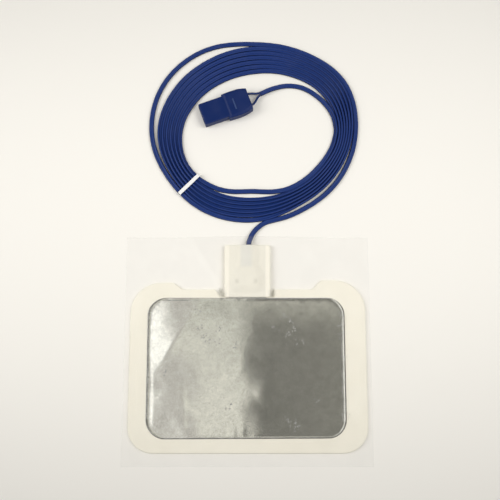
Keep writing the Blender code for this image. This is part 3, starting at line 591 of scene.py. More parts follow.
# %% [markdown]
# ## Lay the cord
#
# The tree now runs once along the path, with the cord's real sizes. A cord of another size would only
# need other values here.

# %% Sweep the cord along its path
cord_values = {"Core Diameter": CORE_DIAMETER, "Core Pitch": CORE_PITCH}
cord_values |= {"Web": WEB_THICKNESS, "Material": cord_skin}
twin_cord = settle(cord_curve, cord_tree, cord_values)
print("twin_cord has", len(twin_cord.data.polygons), "faces")

# %% [markdown]
# ## The floor
#
# A pad like this is photographed on white card, whose pale colour gives the background. The card is
# large, so that its edge is never in the picture, and it has the faintest clouds of tone.

# %% Lay the floor
FLOOR_COLOUR = (0.905, 0.885, 0.835)
FLOOR_CLOUDS = 0.975
FLOOR_SIZE = 12.0
FLOOR_GAP = 0.1 * MM


def make_floor():
    bpy.ops.mesh.primitive_plane_add(size=FLOOR_SIZE, location=(0.0, 0.0, -FLOOR_GAP))
    floor_card = bpy.context.object
    floor_card.name = "floor"
    material, tree, shader = new_material("floor_card", FLOOR_COLOUR, 0.9)
    cloud = noise_value(tree, object_place(tree), 5.0)
    pale = (*FLOOR_COLOUR, 1.0)
    dim = (*[channel * FLOOR_CLOUDS for channel in FLOOR_COLOUR], 1.0)
    feed(tree, shader.inputs["Base Color"], blend_colours(tree, cloud, pale, dim))
    shader.inputs["Specular IOR Level"].default_value = 0.1
    floor_card.data.materials.append(material)
    return floor_card


floor_card = make_floor()
print("the floor is", floor_card.dimensions.x, "m wide")

# %% [markdown]
# ## What mirrors see
#
# Bright metal shows whatever is around it, so the surroundings are described by direction: pale walls, a
# darker dome, a window at the near side, and a ceiling over the pad. The ceiling has a bright panel at
# the left, a lit part next to it, and the dim place where a camera hangs. Only sharp rays see all this.
# Soft light comes from one even tone, so that no reflection changes how the rest is lit.

# %% Describe the surroundings
WALLS = (0.84, 0.83, 0.80, 1.0)
DOME = (0.22, 0.22, 0.22, 1.0)
WINDOW = (2.2, 2.2, 2.3, 1.0)
PANEL = (1.50, 1.49, 1.46, 1.0)
PANEL_RIM = (0.64, 0.62, 0.595, 1.0)
LIT_NEAR = (0.91, 0.895, 0.83, 1.0)
LIT_FAR = (0.76, 0.76, 0.70, 1.0)
SHADE_NEAR = (0.198, 0.195, 0.18, 1.0)
SHADE_SIDE = (0.28, 0.275, 0.25, 1.0)
SHADE_FAR = (0.56, 0.555, 0.50, 1.0)
SOFT_LIGHT = (1.0, 0.99, 0.97, 1.0)
SOFT_LIGHT_STRENGTH = 0.40
# Between which two values of x, y or z of the direction one part of the surroundings turns into another
CEILING_Z = (0.93, 0.965)
DOME_Z = (0.20, 0.50)
WINDOW_Y = (-0.45, -0.60)
WINDOW_Z = (0.35, 0.50)
PANEL_END_X = (-0.20, -0.18)
PANEL_X = (-0.110, -0.092)
PANEL_RIM_X = (-0.066, -0.056)
SHADE_X = (-0.010, -0.001)
LIT_Y = (0.0, 0.12)
SHADE_SIDE_X = (0.02, 0.13)
SHADE_FAR_Y = (0.085, 0.13)


def ceiling_colour(tree, x, y):
    lit = blend_colours(tree, remap(tree, y, *LIT_Y, smooth=False), LIT_NEAR, LIT_FAR)
    shade = remap(tree, x, *SHADE_SIDE_X, smooth=False)
    shade = blend_colours(tree, shade, SHADE_NEAR, SHADE_SIDE)
    shade = blend_colours(tree, remap(tree, y, *SHADE_FAR_Y), shade, SHADE_FAR)
    ceiling = blend_colours(tree, remap(tree, x, *PANEL_RIM_X), PANEL_RIM, lit)
    ceiling = blend_colours(tree, remap(tree, x, *PANEL_X), PANEL, ceiling)
    ceiling = blend_colours(tree, remap(tree, x, *PANEL_END_X), DOME, ceiling)
    return blend_colours(tree, remap(tree, x, *SHADE_X), ceiling, shade)


def surroundings_colour(tree):
    direction = axes_of(tree, add_node(tree, "ShaderNodeTexCoord").outputs["Generated"])
    x, y, z = direction["X"], direction["Y"], direction["Z"]
    dome = blend_colours(tree, remap(tree, z, *DOME_Z), WALLS, DOME)
    window = times(tree, remap(tree, y, *WINDOW_Y), remap(tree, z, *WINDOW_Z))
    dome = blend_colours(tree, window, dome, WINDOW)
    return blend_colours(tree, remap(tree, z, *CEILING_Z), dome, ceiling_colour(tree, x, y))


def make_surroundings():
    world = bpy.data.worlds.new("studio")
    bpy.context.scene.world = world
    world.use_nodes = True
    tree = world.node_tree
    tree.nodes.clear()
    seen = add_node(tree, "ShaderNodeBackground", {"Color": surroundings_colour(tree)})
    fed = {"Color": SOFT_LIGHT, "Strength": SOFT_LIGHT_STRENGTH}
    lighting = add_node(tree, "ShaderNodeBackground", fed)
    rays = add_node(tree, "ShaderNodeLightPath").outputs
    sharp = calculate(tree, "MAXIMUM", rays["Is Camera Ray"], rays["Is Glossy Ray"])
    sharp = calculate(tree, "MAXIMUM", sharp, rays["Is Transmission Ray"])
    fed = {0: sharp, 1: lighting.outputs[0], 2: seen.outputs[0]}
    choose = add_node(tree, "ShaderNodeMixShader", fed)
    add_node(tree, "ShaderNodeOutputWorld", {"Surface": choose.outputs[0]})
    return world


studio = make_surroundings()
print(studio.name, "has", len(studio.node_tree.nodes), "nodes")

# %% [markdown]
# ## Lamps
#
# Two soft side lamps light the card, and leave its far corners a little dimmer. They stay at a level at
# which a colour looks as written, and the Standard view transform keeps it so in the picture.

# %% Hang the lamps
LAMP_COLOUR = (1.0, 0.985, 0.96)
LAMP_SPREAD = radians(80)
LAMP_WIDTH = 0.35
LAMP_DEPTH = 0.5
# Each lamp: its name, its place, the point it is aimed at, and its power
LAMPS = [
    ("left_light", (-0.50, 0.10, 0.40), (-0.08, 0.13, 0.0), 0.56),
    ("right_light", (0.40, 0.10, 0.52), (0.08, 0.13, 0.0), 0.53),
]


def area_light(name, place, aim, power):
    """A soft lamp that neither the camera nor the clear film and gel show."""
    data = bpy.data.lights.new(name, "AREA")
    data.shape = "RECTANGLE"
    data.size = LAMP_WIDTH
    data.size_y = LAMP_DEPTH
    data.energy = power
    data.color = LAMP_COLOUR
    data.spread = LAMP_SPREAD
    light = add_object(name, data)
    light.location = place
    light.rotation_euler = (Vector(aim) - Vector(place)).to_track_quat("-Z", "Y").to_euler()
    light.visible_camera = False
    light.visible_transmission = False


for lamp in LAMPS:
    area_light(*lamp)
bpy.context.scene.view_settings.view_transform = "Standard"
print("hung", len(LAMPS), "side lamps")

# %% [markdown]
# ## Outlines
#
# Every layer starts as an outline seen from above, made of arcs and straight runs. A few small functions
# make it, cut it into even steps and move it inwards.

# %% Helpers for outlines


def waves(x, y, size, seed=0.0):
    """Smooth random waves from -1 to 1, with this wavelength."""
    return noise.noise(Vector((x / size, y / size, seed)))


def arc(x, y, radius, start, end, steps=10):
    """Points on a circle from one angle to another, in degrees."""
    turns = [radians(start + (end - start) * i / steps) for i in range(steps + 1)]
    return [(x + radius * cos(a), y + radius * sin(a)) for a in turns]


def rounded_rectangle(left, right, bottom, top, radius, steps=10):
    outline = arc(left + radius, bottom + radius, radius, 180, 270, steps)
    outline += arc(right - radius, bottom + radius, radius, 270, 360, steps)
    outline += arc(right - radius, top - radius, radius, 0, 90, steps)
    return outline + arc(left + radius, top - radius, radius, 90, 180, steps)


def evened(outline, spacing):
    """The outline with its long straight runs cut into equal steps."""
    points = []
    for here, after in zip(outline, outline[1:] + outline[:1]):
        here, after = Vector(here), Vector(after)
        count = max(1, round((after - here).length / spacing))
        points += [here.lerp(after, i / count) for i in range(count)]
    return [p for i, p in enumerate(points) if (p - points[i - 1]).length > 0.02 * MM]


def inset(outline, distance):
    """An anticlockwise outline moved inwards by a distance."""
    moved = []
    for before, here, after in zip(outline[-1:] + outline[:-1], outline, outline[1:] + outline[:1]):
        a = (here - before).normalized()
        b = (after - here).normalized()
        inwards = Vector((-a.y - b.y, a.x + b.x))
        moved.append(here + inwards * distance / max(0.4, 1 + a.dot(b)))
    return moved


print("outline helpers ready")

# %% [markdown]
# ## Thin layers from one outline
#
# Foam, foil and gel are flat sheets cut to an outline, but none of them is truly flat: the foam is soft
# at its edge, the foil is creased, the gel has a rounded rim. So each is built as a solid from its
# outline: rings for the rim, from the bottom edge to the top one, and a lid of small triangles whose
# points are lifted by a function of their place.

# %% The layer builder
ROW_SHARE = 0.87
KEEP_OFF_SHARE = 0.45
EDGE_WAVE = 6 * MM
SHARP_ANGLE = radians(40)


def inner_points(outline, spacing):
    """A staggered grid of points that lie inside the outline and not too near it."""
    edge = np.array([list(p) for p in outline])
    low, high = edge.min(0), edge.max(0)
    rows = np.arange(low[1] + spacing / 2, high[1], spacing * ROW_SHARE)
    points = []
    for i, y in enumerate(rows):
        xs = np.arange(low[0] + spacing * (0.5 if i % 2 else 1.0), high[0], spacing)
        points.append(np.stack([xs, np.full(len(xs), y)], axis=1))
    points = np.concatenate(points)
    inside = np.zeros(len(points), bool)
    near = np.full(len(points), np.inf)
    for a, b in zip(edge, np.roll(edge, -1, axis=0)):
        crosses = (a[1] > points[:, 1]) != (b[1] > points[:, 1])
        rise = b[1] - a[1] if b[1] != a[1] else 1.0
        inside ^= crosses & (points[:, 0] < a[0] + (points[:, 1] - a[1]) * (b[0] - a[0]) / rise)
        run = b - a
        share = np.clip(((points - a) @ run) / max(run @ run, 1e-18), 0, 1)
        near = np.minimum(near, np.linalg.norm(points - a - share[:, None] * run, axis=1))
    return [Vector(p) for p in points[inside & (near > spacing * KEEP_OFF_SHARE)]]


def add_lid(build, ring, spacing, height):
    """Fills a ring of vertices with small triangles, lifted to the height of their place."""
    outline = [Vector(v.co.xy) for v in ring]
    inner = inner_points(outline, spacing)
    found = geometry.delaunay_2d_cdt(outline + inner, [], [list(range(len(outline)))], 1, 1e-7)
    places, faces, origins = found[0], found[2], found[3]
    verts = {}
    for i, place in enumerate(places):
        first = origins[i][0] if origins[i] else None
        if first is not None and first < len(ring):
            verts[i] = ring[first]
        else:
            verts[i] = build.verts.new((place.x, place.y, height(place.x, place.y)))
    for face in faces:
        corners = [verts[i] for i in face]
        if len(set(corners)) == 3:
            build.faces.new(corners)


def in_metres(rim):
    """A rim whose insets are written in millimetres."""
    return [(distance * MM, share) for distance, share in rim]


def add_piece(name, build, material):
    """A built mesh as a smooth object with one finish."""
    mesh = bpy.data.meshes.new(name)
    build.to_mesh(mesh)
    build.free()
    mesh.shade_smooth()
    mesh.materials.append(material)
    return add_object(name, mesh)


def make_layer(name, outline, rim, bottom, top, spacing, material, bottom_spacing=None, uneven=0.0):
    """A layer between two heights. rim is a list of (inset, share of the way up), from the bottom."""
    build = bmesh.new()
    rings = []
    for distance, share in rim:
        ring = []
        for edge, p in zip(outline, inset(outline, distance)):
            p = edge + (p - edge) * (1 + uneven * waves(edge.x, edge.y, EDGE_WAVE, 9.1))
            low, high = bottom(p.x, p.y), top(p.x, p.y)
            ring.append(build.verts.new((p.x, p.y, low + (high - low) * share)))
        rings.append(ring)
    for lower, upper in zip(rings, rings[1:]):
        for i in range(len(lower)):
            build.faces.new((lower[i - 1], lower[i], upper[i], upper[i - 1]))
    add_lid(build, rings[-1], spacing, top)
    add_lid(build, rings[0], bottom_spacing or spacing, bottom)
    loose = [v for v in build.verts if not v.link_faces]
    bmesh.ops.delete(build, geom=loose, context="VERTS")
    bmesh.ops.recalc_face_normals(build, faces=build.faces)
    layer = add_piece(name, build, material)
    layer.data.set_sharp_from_angle(angle=SHARP_ANGLE)
    return layer


print("layer builder ready")

# %% [markdown]
# ## Foam
#
# The pad is closed-cell foam, about 1.6 mm thick, die-cut with two ears, a lower strip between them and a
# notch on each side of the tab. Its surface is matt, with cells of a few tenths of a millimetre, faint
# clouds of tone, and an edge that the cutting die has pressed slightly round. The cells are one node
# group, because the tab's cover is cut from the same kind of sheet.

# %% The foam cell group and the foam finish
FOAM_COLOUR = (0.922, 0.885, 0.768)
COVER_COLOUR = (0.865, 0.835, 0.735)
FOAM_TINT = (0.72, 0.66, 0.52, 1.0)
FOAM_ROUGHNESS = (0.72, 0.86)
WALL_RANGE = (0.1, 0.8)
WALL_TONE = 0.02
CELL_DEPTH = 0.05 * MM
FOAM_SPECULAR = 0.25


def foam_cell_group():
    inputs = [("Colour", "NodeSocketColor", (0.9, 0.9, 0.8, 1.0))]
    inputs += [("Cell Size", "NodeSocketFloat", 1800.0), ("Clouds", "NodeSocketFloat", 0.06)]
    tree, start, end = new_group("foam_cells", inputs, SKIN_OUTPUTS)
    place = object_place(tree)
    plain = start.outputs["Colour"]
    fed = {"Vector": place, "Scale": start.outputs["Cell Size"]}
    cells = add_node(tree, "ShaderNodeTexVoronoi", fed, feature="SMOOTH_F1")
    wall = remap(tree, cells.outputs["Distance"], *WALL_RANGE)
    cloud = noise_value(tree, place, 45.0, 3.0)
    shade = times(tree, remap(tree, cloud, *NOISE_RANGE), start.outputs["Clouds"])
    shade = plus(tree, shade, times(tree, wall, WALL_TONE))
    darker = blend_colours(tree, 1.0, plain, FOAM_TINT, "MULTIPLY")
    feed(tree, end.inputs["Colour"], blend_colours(tree, shade, plain, darker))
    feed(tree, end.inputs["Roughness"], remap(tree, cloud, *NOISE_RANGE, *FOAM_ROUGHNESS))
    feed(tree, end.inputs["Height"], wall)
    return tree


foam_cells = foam_cell_group()


def foam_material(name, colour, see_through=None):
    """Foam in one colour. see_through is a function that darkens it over what lies under it."""
    material, tree, shader = new_material(name, colour, 0.8)
    cells = use_group(tree, foam_cells, {"Colour": (*colour, 1.0)})
    tone = cells.outputs["Colour"]
    feed(tree, shader.inputs["Base Color"], see_through(tree, tone) if see_through else tone)
    feed(tree, shader.inputs["Roughness"], cells.outputs["Roughness"])
    feed(tree, shader.inputs["Normal"], bump(tree, cells.outputs["Height"], CELL_DEPTH))
    shader.inputs["Specular IOR Level"].default_value = FOAM_SPECULAR
    return material


pad_foam = foam_material("pad_foam", FOAM_COLOUR)
print(pad_foam.name, "made")

# %% [markdown]
# ## The pad's outline
#
# The outline runs anticlockwise from the lower left corner, in the frame's own sizes and a few more that
# round the corners and the ears. The left ear is a little lower than the right one.

# %% Cut and soften the foam pad
EAR_CORNER = 21.5 * MM
FOAM_CORNER = 17.5 * MM
EAR_BORDER = 12.6 * MM
LEFT_EAR_BORDER = 10.8 * MM
LEFT_SIDE_IN = 0.8 * MM
STRIP_BORDER = 6.0 * MM
STRIP_HALF_WIDTH = 45.0 * MM
EAR_SLOPE = 9.0 * MM
TAB_CORNER = 1.2 * MM
NOTCH_WIDTH = 3.0 * MM
NOTCH_FLARE = 3.6 * MM
NOTCH_FLOOR = 0.6 * MM
FOAM_WAVES = 0.10 * MM
FOAM_STEP = 2.0 * MM
FOAM_SPACING = 2.5 * MM
FOAM_BACK_SPACING = 8 * MM
EAR_STEPS = 10
# From the bottom edge to the top one: how far in, in millimetres, and the share of the way up
FOAM_RIM = [(0.12, 0.0), (0.0, 0.12), (0.0, 0.72), (0.08, 0.88), (0.28, 0.98), (0.6, 1.0)]


def foam_outline():
    side = foam_high.x
    left_side = side - LEFT_SIDE_IN
    corner = FOAM_CORNER
    ear = EAR_CORNER
    right_end = FOIL_END + EAR_BORDER
    left_end = FOIL_END + LEFT_EAR_BORDER
    strip_end = FOIL_END + STRIP_BORDER
    notch = FOIL_END + NOTCH_FLOOR
    tab = TAB_HALF_WIDTH
    beside = tab + NOTCH_WIDTH
    outline = arc(-left_side + corner, foam_low.y + corner, corner, 180, 270)
    outline += arc(side - corner, foam_low.y + corner, corner, 270, 360)
    outline += arc(side - ear, right_end - ear, ear, 0, 90)
    for i in range(EAR_STEPS + 1):
        x = STRIP_HALF_WIDTH + EAR_SLOPE * (1 - i / EAR_STEPS)
        fall = (1 - cos(pi * i / EAR_STEPS)) / 2
        outline.append((x, right_end + (strip_end - right_end) * fall))
    outline += [(beside, strip_end), (beside, notch), (tab, notch)]
    outline += arc(tab - TAB_CORNER, TAB_END - TAB_CORNER, TAB_CORNER, 0, 90, 4)
    outline += arc(TAB_CORNER - tab, TAB_END - TAB_CORNER, TAB_CORNER, 90, 180, 4)
    outline += [(-tab, notch), (-beside, notch), (-beside - NOTCH_FLARE, strip_end)]
    for i in range(EAR_STEPS + 1):
        x = -STRIP_HALF_WIDTH - EAR_SLOPE * (i / EAR_STEPS)
        rise = (1 - cos(pi * i / EAR_STEPS)) / 2
        outline.append((x, strip_end + (left_end - strip_end) * rise))
    return outline + arc(-left_side + ear, left_end - ear, ear, 90, 180)


def foam_top(x, y):
    return FOAM_TOP - FOAM_WAVES * (0.5 + 0.5 * waves(x, y, 22 * MM, 3.1))


foam_pad = make_layer(
    "foam_pad",
    evened(foam_outline(), FOAM_STEP),
    in_metres(FOAM_RIM),
    lambda x, y: 0.0,
    foam_top,
    FOAM_SPACING,
    pad_foam,
    bottom_spacing=FOAM_BACK_SPACING,
)
print("foam_pad has", len(foam_pad.data.polygons), "faces")

# %% [markdown]
# ## Foil
#
# The foil is thin aluminium that has been handled and rolled up in a pouch, so it has a few long creases
# and many shallow dents. Straight from above it mirrors what hangs over it, and a slope of one degree is
# enough to mirror something else. That is why the creases are real geometry: a fold is a smooth step of
# slope across a line, and the dents are soft noise. Only the finest wrinkles are bump.

# %% Crease the foil
FOIL_LIFT = 0.46 * MM
FOIL_REST = 0.04 * MM
WIDE_DENTS = (0.012 * MM, 19 * MM, 1.7)
NARROW_DENTS = (0.005 * MM, 8 * MM, 5.2)
TONGUE_SLOPE = 2.0 * MM
# Each crease, in millimetres: a point on it, the way it runs in degrees, the slope at it, the width over
# which the foil curves up to it from its right-hand side, and half its length
CREASES = [
    ((-42, 31), 55.5, 0.0215, 30, 31),
    ((-49, 20.5), 57.4, 0.008, 12, 17),
    ((-65.5, -30), 90, 0.014, 18, 30),
    ((-43, -34), 90, 0.035, 1.2, 13),
    ((-8.5, -47), 90, 0.014, 2.0, 7),
    ((-2.5, -47), 90, 0.012, 2.0, 7),
    ((-56, -18), 215, 0.012, 9, 9),
]
# Each swell: its middle, its half widths along X and Y, and its height
SWELLS = [((13, -16.3), (11, 7.5), 0.095), ((13, -44), (11, 8), 0.045)]


def crease_height(x, y, place, run, slope, width, half_length):
    """The foil curves up to a crease from one side and is level beyond it."""
    along = Vector((cos(radians(run)), sin(radians(run))))
    off = Vector((x / MM - place[0], y / MM - place[1]))
    aside = along.x * off.y - along.y * off.x
    share = min(1.0, max(0.0, 1 + aside / width))
    return slope * width / 2 * share**2 / (1 + (off.dot(along) / half_length) ** 4) * MM


def swell_height(x, y, middle, reach, height):
    away = ((x / MM - middle[0]) / reach[0]) ** 2 + ((y / MM - middle[1]) / reach[1]) ** 2
    return height * MM * exp(-away)


def foil_relief(x, y):
    """How far the foil stands above its lowest possible place here."""
    fade = min(1.0, max(0.0, (FOIL_END - y) / TONGUE_SLOPE))
    height = FOIL_REST
    for depth, size, seed in (WIDE_DENTS, NARROW_DENTS):
        height += depth * waves(x, y, size, seed)
    height += sum(crease_height(x, y, *crease) for crease in CREASES)
    height += sum(swell_height(x, y, *swell) for swell in SWELLS)
    return min(max(height, 0.0), FOIL_LIFT) * fade


print("the foil stands", round(foil_relief(-42 * MM, 31 * MM) / MM, 2), "mm up at its long crease")

# %% [markdown]
# ## The plate's outline
#
# The plate is a rectangle with round corners and a tongue that runs in under the tab's cover. It was cut
# a little off square, so its outline is drawn true first and each point is then moved to where it lies.

# %% Cut the plate
FOIL_CORNER = 12.5 * MM
FOIL_LOW_LEFT = 1.4 * MM
FOIL_LOW_RIGHT = 0.7 * MM
FOIL_LEFT_OUT = 1.6 * MM
TONGUE_HALF_WIDTH = 13.0 * MM
TONGUE_CORNER = 4.0 * MM


def as_cut(x, y):
    """The plate was cut a little off square: where a point of its outline really lies."""
    share = min(1.0, max(0.0, (FOIL_HALF_WIDTH - x) / (2 * FOIL_HALF_WIDTH)))
    low = min(1.0, max(0.0, -y / FOIL_END))
    left = min(1.0, max(0.0, -x / FOIL_HALF_WIDTH))
    drop = (FOIL_LOW_RIGHT + (FOIL_LOW_LEFT - FOIL_LOW_RIGHT) * share) * low**4
    return x - FOIL_LEFT_OUT * left**4, y - drop


def foil_outline():
    half = FOIL_HALF_WIDTH
    corner = FOIL_CORNER
    tongue = TONGUE_HALF_WIDTH - TONGUE_CORNER
    tip = foil_high.y - TONGUE_CORNER
    outline = arc(-half + corner, -FOIL_END + corner, corner, 180, 270)
    outline += arc(half - corner, -FOIL_END + corner, corner, 270, 360)
    outline += arc(half - corner, FOIL_END - corner, corner, 0, 90)
    outline.append((TONGUE_HALF_WIDTH, FOIL_END))
    outline += arc(tongue, tip, TONGUE_CORNER, 0, 90, 5)
    outline += arc(-tongue, tip, TONGUE_CORNER, 90, 180, 5)
    outline.append((-TONGUE_HALF_WIDTH, FOIL_END))
    outline += arc(-half + corner, FOIL_END - corner, corner, 90, 180)
    return [as_cut(x, y) for x, y in outline]


print("the plate's outline has", len(foil_outline()), "points")

# %% [markdown]
# ## The foil's finish
#
# Bright foil is almost a mirror. Fine bump breaks up its reflections, clouds and specks change how sharp
# they are, and the metal's own tone is a mix of bright and dull at two sizes, as on handled foil.

# %% Finish and lay the foil
FOIL_RIM = [(0.0, 0.0), (0.0, 1.0)]
FOIL_SPACING = 1.3 * MM
FOIL_PLAIN = (0.80, 0.80, 0.75)
FOIL_BRIGHT = (0.86, 0.855, 0.83, 1.0)
FOIL_DULL = (0.68, 0.675, 0.65, 1.0)
# Dents, grain, clouds, specks and patches: the scale, the detail and the roughness of each noise
FOIL_NOISES = [(160.0, 4.0, 0.55), (1400.0,), (55.0, 3.0), (800.0, 3.0, 0.75), (180.0, 3.0, 0.6)]
GRAIN_SHARE = 0.06
WRINKLE_DEPTH = 0.02 * MM
WRINKLE_STRENGTH = 0.4
FOIL_ROUGHNESS = (0.05, 0.08)
SPECK_ROUGHNESS = 0.03
WORN_RANGE = (0.35, 0.65)
SPECK_WEAR = 0.65
PATCH_WEAR = 0.35


def foil_material():
    material, tree, shader = new_material("creased_foil", FOIL_PLAIN, 0.16, metallic=1.0)
    place = object_place(tree)
    noises = [noise_value(tree, place, *sizes) for sizes in FOIL_NOISES]
    dents, grain, cloud, speck, patch = noises
    wrinkle = plus(tree, dents, times(tree, grain, GRAIN_SHARE))
    feed(tree, shader.inputs["Normal"], bump(tree, wrinkle, WRINKLE_DEPTH, WRINKLE_STRENGTH))
    dull = times(tree, remap(tree, speck, 0.45, 0.75), SPECK_ROUGHNESS)
    dull = plus(tree, dull, remap(tree, cloud, *NOISE_RANGE, *FOIL_ROUGHNESS))
    feed(tree, shader.inputs["Roughness"], dull)
    specks = times(tree, remap(tree, speck, *WORN_RANGE, smooth=False), SPECK_WEAR)
    worn = plus(tree, specks, times(tree, remap(tree, patch, *WORN_RANGE), PATCH_WEAR))
    feed(tree, shader.inputs["Base Color"], blend_colours(tree, worn, FOIL_BRIGHT, FOIL_DULL))
    return material


foil_sheet = make_layer(
    "foil_sheet",
    evened(foil_outline(), FOIL_SPACING),
    in_metres(FOIL_RIM),
    lambda x, y: FOIL_BOTTOM + foil_relief(x, y),
    lambda x, y: FOIL_BOTTOM + FOIL_THICKNESS + foil_relief(x, y),
    FOIL_SPACING,
    foil_material(),
)
print("foil_sheet has", len(foil_sheet.data.polygons), "faces")

# %% [markdown]
# ## Gel
#
# The gel is a clear, wet layer cast on the foil. It shows by its rim, which bends what is seen through
# it, by its gloss and by small air bubbles. Glass with the gel's low refractive index gives the first
# two. The layer's underside follows the creased foil.

# %% Cast the gel
GEL_EDGE = 0.12 * MM
GEL_CORNER = FOIL_CORNER - GEL_EDGE
GEL_ABOVE_FOIL = 0.03 * MM
GEL_FOLLOWS_FOIL = 0.35
GEL_WAVE_DEPTH = 0.02 * MM
GEL_WAVE = 9 * MM
GEL_STEP = 1.3 * MM
GEL_SPACING = 1.8 * MM
GEL_UNEVEN = 0.45
GEL_INDEX = 1.38
GEL_RIM = [(0.1, 0.0), (0.0, 0.04), (0.15, 0.26), (0.4, 0.5), (0.75, 0.72), (1.25, 0.9), (1.9, 1.0)]


def gel_material():
    material, tree, shader = new_material("clear_gel", (0.985, 0.985, 0.96), 0.03)
    shader.inputs["Transmission Weight"].default_value = 1.0
    shader.inputs["IOR"].default_value = GEL_INDEX
    ripple = noise_value(tree, object_place(tree), 130.0)
    feed(tree, shader.inputs["Normal"], bump(tree, ripple, 0.02 * MM, 0.2))
    return material


def gel_bottom(x, y):
    return FOIL_BOTTOM + FOIL_THICKNESS + GEL_ABOVE_FOIL + foil_relief(x, y)


def gel_top(x, y):
    ripple = GEL_WAVE_DEPTH * (1 + waves(x, y, GEL_WAVE, 8.8))
    return gel_high.z + GEL_FOLLOWS_FOIL * foil_relief(x, y) - ripple


def gel_outline():
    side, end = FOIL_HALF_WIDTH - GEL_EDGE, FOIL_END - GEL_EDGE
    outline = rounded_rectangle(-side, side, -end, end, GEL_CORNER)
    return [as_cut(x, y) for x, y in outline]


gel_pad = make_layer(
    "gel_pad",
    evened(gel_outline(), GEL_STEP),
    in_metres(GEL_RIM),
    gel_bottom,
    gel_top,
    GEL_SPACING,
    gel_material(),
    uneven=GEL_UNEVEN,
)
print("gel_pad has", len(gel_pad.data.polygons), "faces")

# %% [markdown]
# ## Bubbles in the gel
#
# Air is caught in the gel in small groups. A group is easy to describe: a middle, a count, a spread. So
# the tree takes one point for each group, makes copies of it, shifts each copy by a seeded random vector
# and puts a small flattened bubble there. The bubbles break through the gel's surface.

# %% Scatter the bubbles
BUBBLE_VALUES = {"Count": 7, "Spread": (3.0 * MM, 2.4 * MM, 0.02 * MM), "Seed": 7}
BUBBLE_VALUES |= {"Radius": 0.6 * MM, "Height": 0.12 * MM}
BUBBLE_ROUNDNESS = 2
SMALLEST_BUBBLE = 0.45
BUBBLES_ABOVE = 0.02 * MM
# The middle of each group on the pad, in millimetres
BUBBLE_GROUPS = [(-36, 38), (-34, 27), (-31, 22), (-29, 18), (-19, 27), (-22, 17), (-7, 15), (26, 36)]
BUBBLE_GROUPS += [(31, 33), (33, 27), (30, 22), (20, 27), (37, 17), (32, -39), (29, -36), (34, -42)]
BUBBLE_GROUPS += [(67, 36), (66, 30), (67, 22), (67, 5), (68, -34), (-60, -4), (-13, -27), (48, -24)]


def bubble_material():
    material, tree, shader = new_material("gel_bubble", (0.93, 0.93, 0.90), 0.2)
    edge = add_node(tree, "ShaderNodeFresnel", {"IOR": 1.3}).outputs[0]
    feed(tree, shader.inputs["Alpha"], calculate(tree, "ADD", edge, 0.24, clamp=True))
    return material


def bubble_tree():
    sizes = [("Count", "NodeSocketInt"), ("Spread", "NodeSocketVector")]
    sizes += [("Radius", "NodeSocketFloat"), ("Height", "NodeSocketFloat")]
    sizes += [("Seed", "NodeSocketInt"), ("Material", "NodeSocketMaterial")]
    tree, start, end = geometry_tree("bubble_scatter", sizes)
    given = start.outputs
    fed = {"Geometry": given["Geometry"], "Amount": given["Count"]}
    copies = add_node(tree, "GeometryNodeDuplicateElements", fed, domain="POINT")
    fed = {0: given["Spread"], "Scale": -1.0}
    turned = add_node(tree, "ShaderNodeVectorMath", fed, operation="SCALE")
    fed = {"Min": turned.outputs[0], "Max": given["Spread"], "Seed": given["Seed"]}
    shift = add_node(tree, "FunctionNodeRandomValue", fed, data_type="FLOAT_VECTOR")
    fed = {"Geometry": copies.outputs["Geometry"], "Offset": shift.outputs[0]}
    move = add_node(tree, "GeometryNodeSetPosition", fed)
    fed = {"Subdivisions": BUBBLE_ROUNDNESS, "Radius": given["Radius"]}
    ball = add_node(tree, "GeometryNodeMeshIcoSphere", fed)
    fed = {2: SMALLEST_BUBBLE, 3: 1.0, "Seed": given["Seed"]}
    size = add_node(tree, "FunctionNodeRandomValue", fed, data_type="FLOAT").outputs[1]
    low = calculate(tree, "DIVIDE", given["Height"], times(tree, given["Radius"], 2.0))
    flat = add_node(tree, "ShaderNodeCombineXYZ", {"X": size, "Y": size, "Z": low})
    fed = {"Points": move.outputs[0], "Instance": ball.outputs["Mesh"], "Scale": flat.outputs[0]}
    place = add_node(tree, "GeometryNodeInstanceOnPoints", fed)
    real = add_node(tree, "GeometryNodeRealizeInstances", {0: place.outputs[0]})
    smooth = add_node(tree, "GeometryNodeSetShadeSmooth", {"Geometry": real.outputs[0]})
    finish_tree(tree, smooth.outputs[0], start, end)
    return tree


def make_bubbles():
    mesh = bpy.data.meshes.new("gel_bubbles")
    surface = gel_high.z + BUBBLES_ABOVE
    mesh.from_pydata([(x * MM, y * MM, surface) for x, y in BUBBLE_GROUPS], [], [])
    values = {**BUBBLE_VALUES, "Material": bubble_material()}
    return settle(add_object("gel_bubbles", mesh), bubble_tree(), values)


gel_bubbles = make_bubbles()
print("gel_bubbles has", len(gel_bubbles.data.polygons), "faces")

# %% [markdown]
# ## Tab cover
#
# A second piece of foam is laminated over the foil's tongue, the two crimps and the cord. It is thin
# enough that they show: as a soft ridge and two dots, and as a slightly greyer panel as wide as the
# tongue, with a paler margin on each side where foam lies on foam.

# %% What pushes the cover up
CORD_ENTRY_X = 0.7 * MM
CRIMPS = ((-7.4 * MM, FOIL_END + 9.6 * MM), (5.8 * MM, FOIL_END + 9.6 * MM))
CRIMP_LENGTH = 4.0 * MM
CORES_STRAIGHT = FOIL_END + 16.6 * MM
CORE_SPLIT = FOIL_END + 24.0 * MM
CHANNEL_HALF_WIDTH = 7.5 * MM
CHANNEL_HEIGHT = 1.95 * MM
CHANNEL_SAG = 0.3 * MM


def distance_to_run(x, y, start, end):
    """How far a point of the plan lies from the straight run between two others."""
    run = (end[0] - start[0], end[1] - start[1])
    share = ((x - start[0]) * run[0] + (y - start[1]) * run[1]) / (run[0] ** 2 + run[1] ** 2)
    share = min(1.0, max(0.0, share))
    return hypot(x - start[0] - share * run[0], y - start[1] - share * run[1])


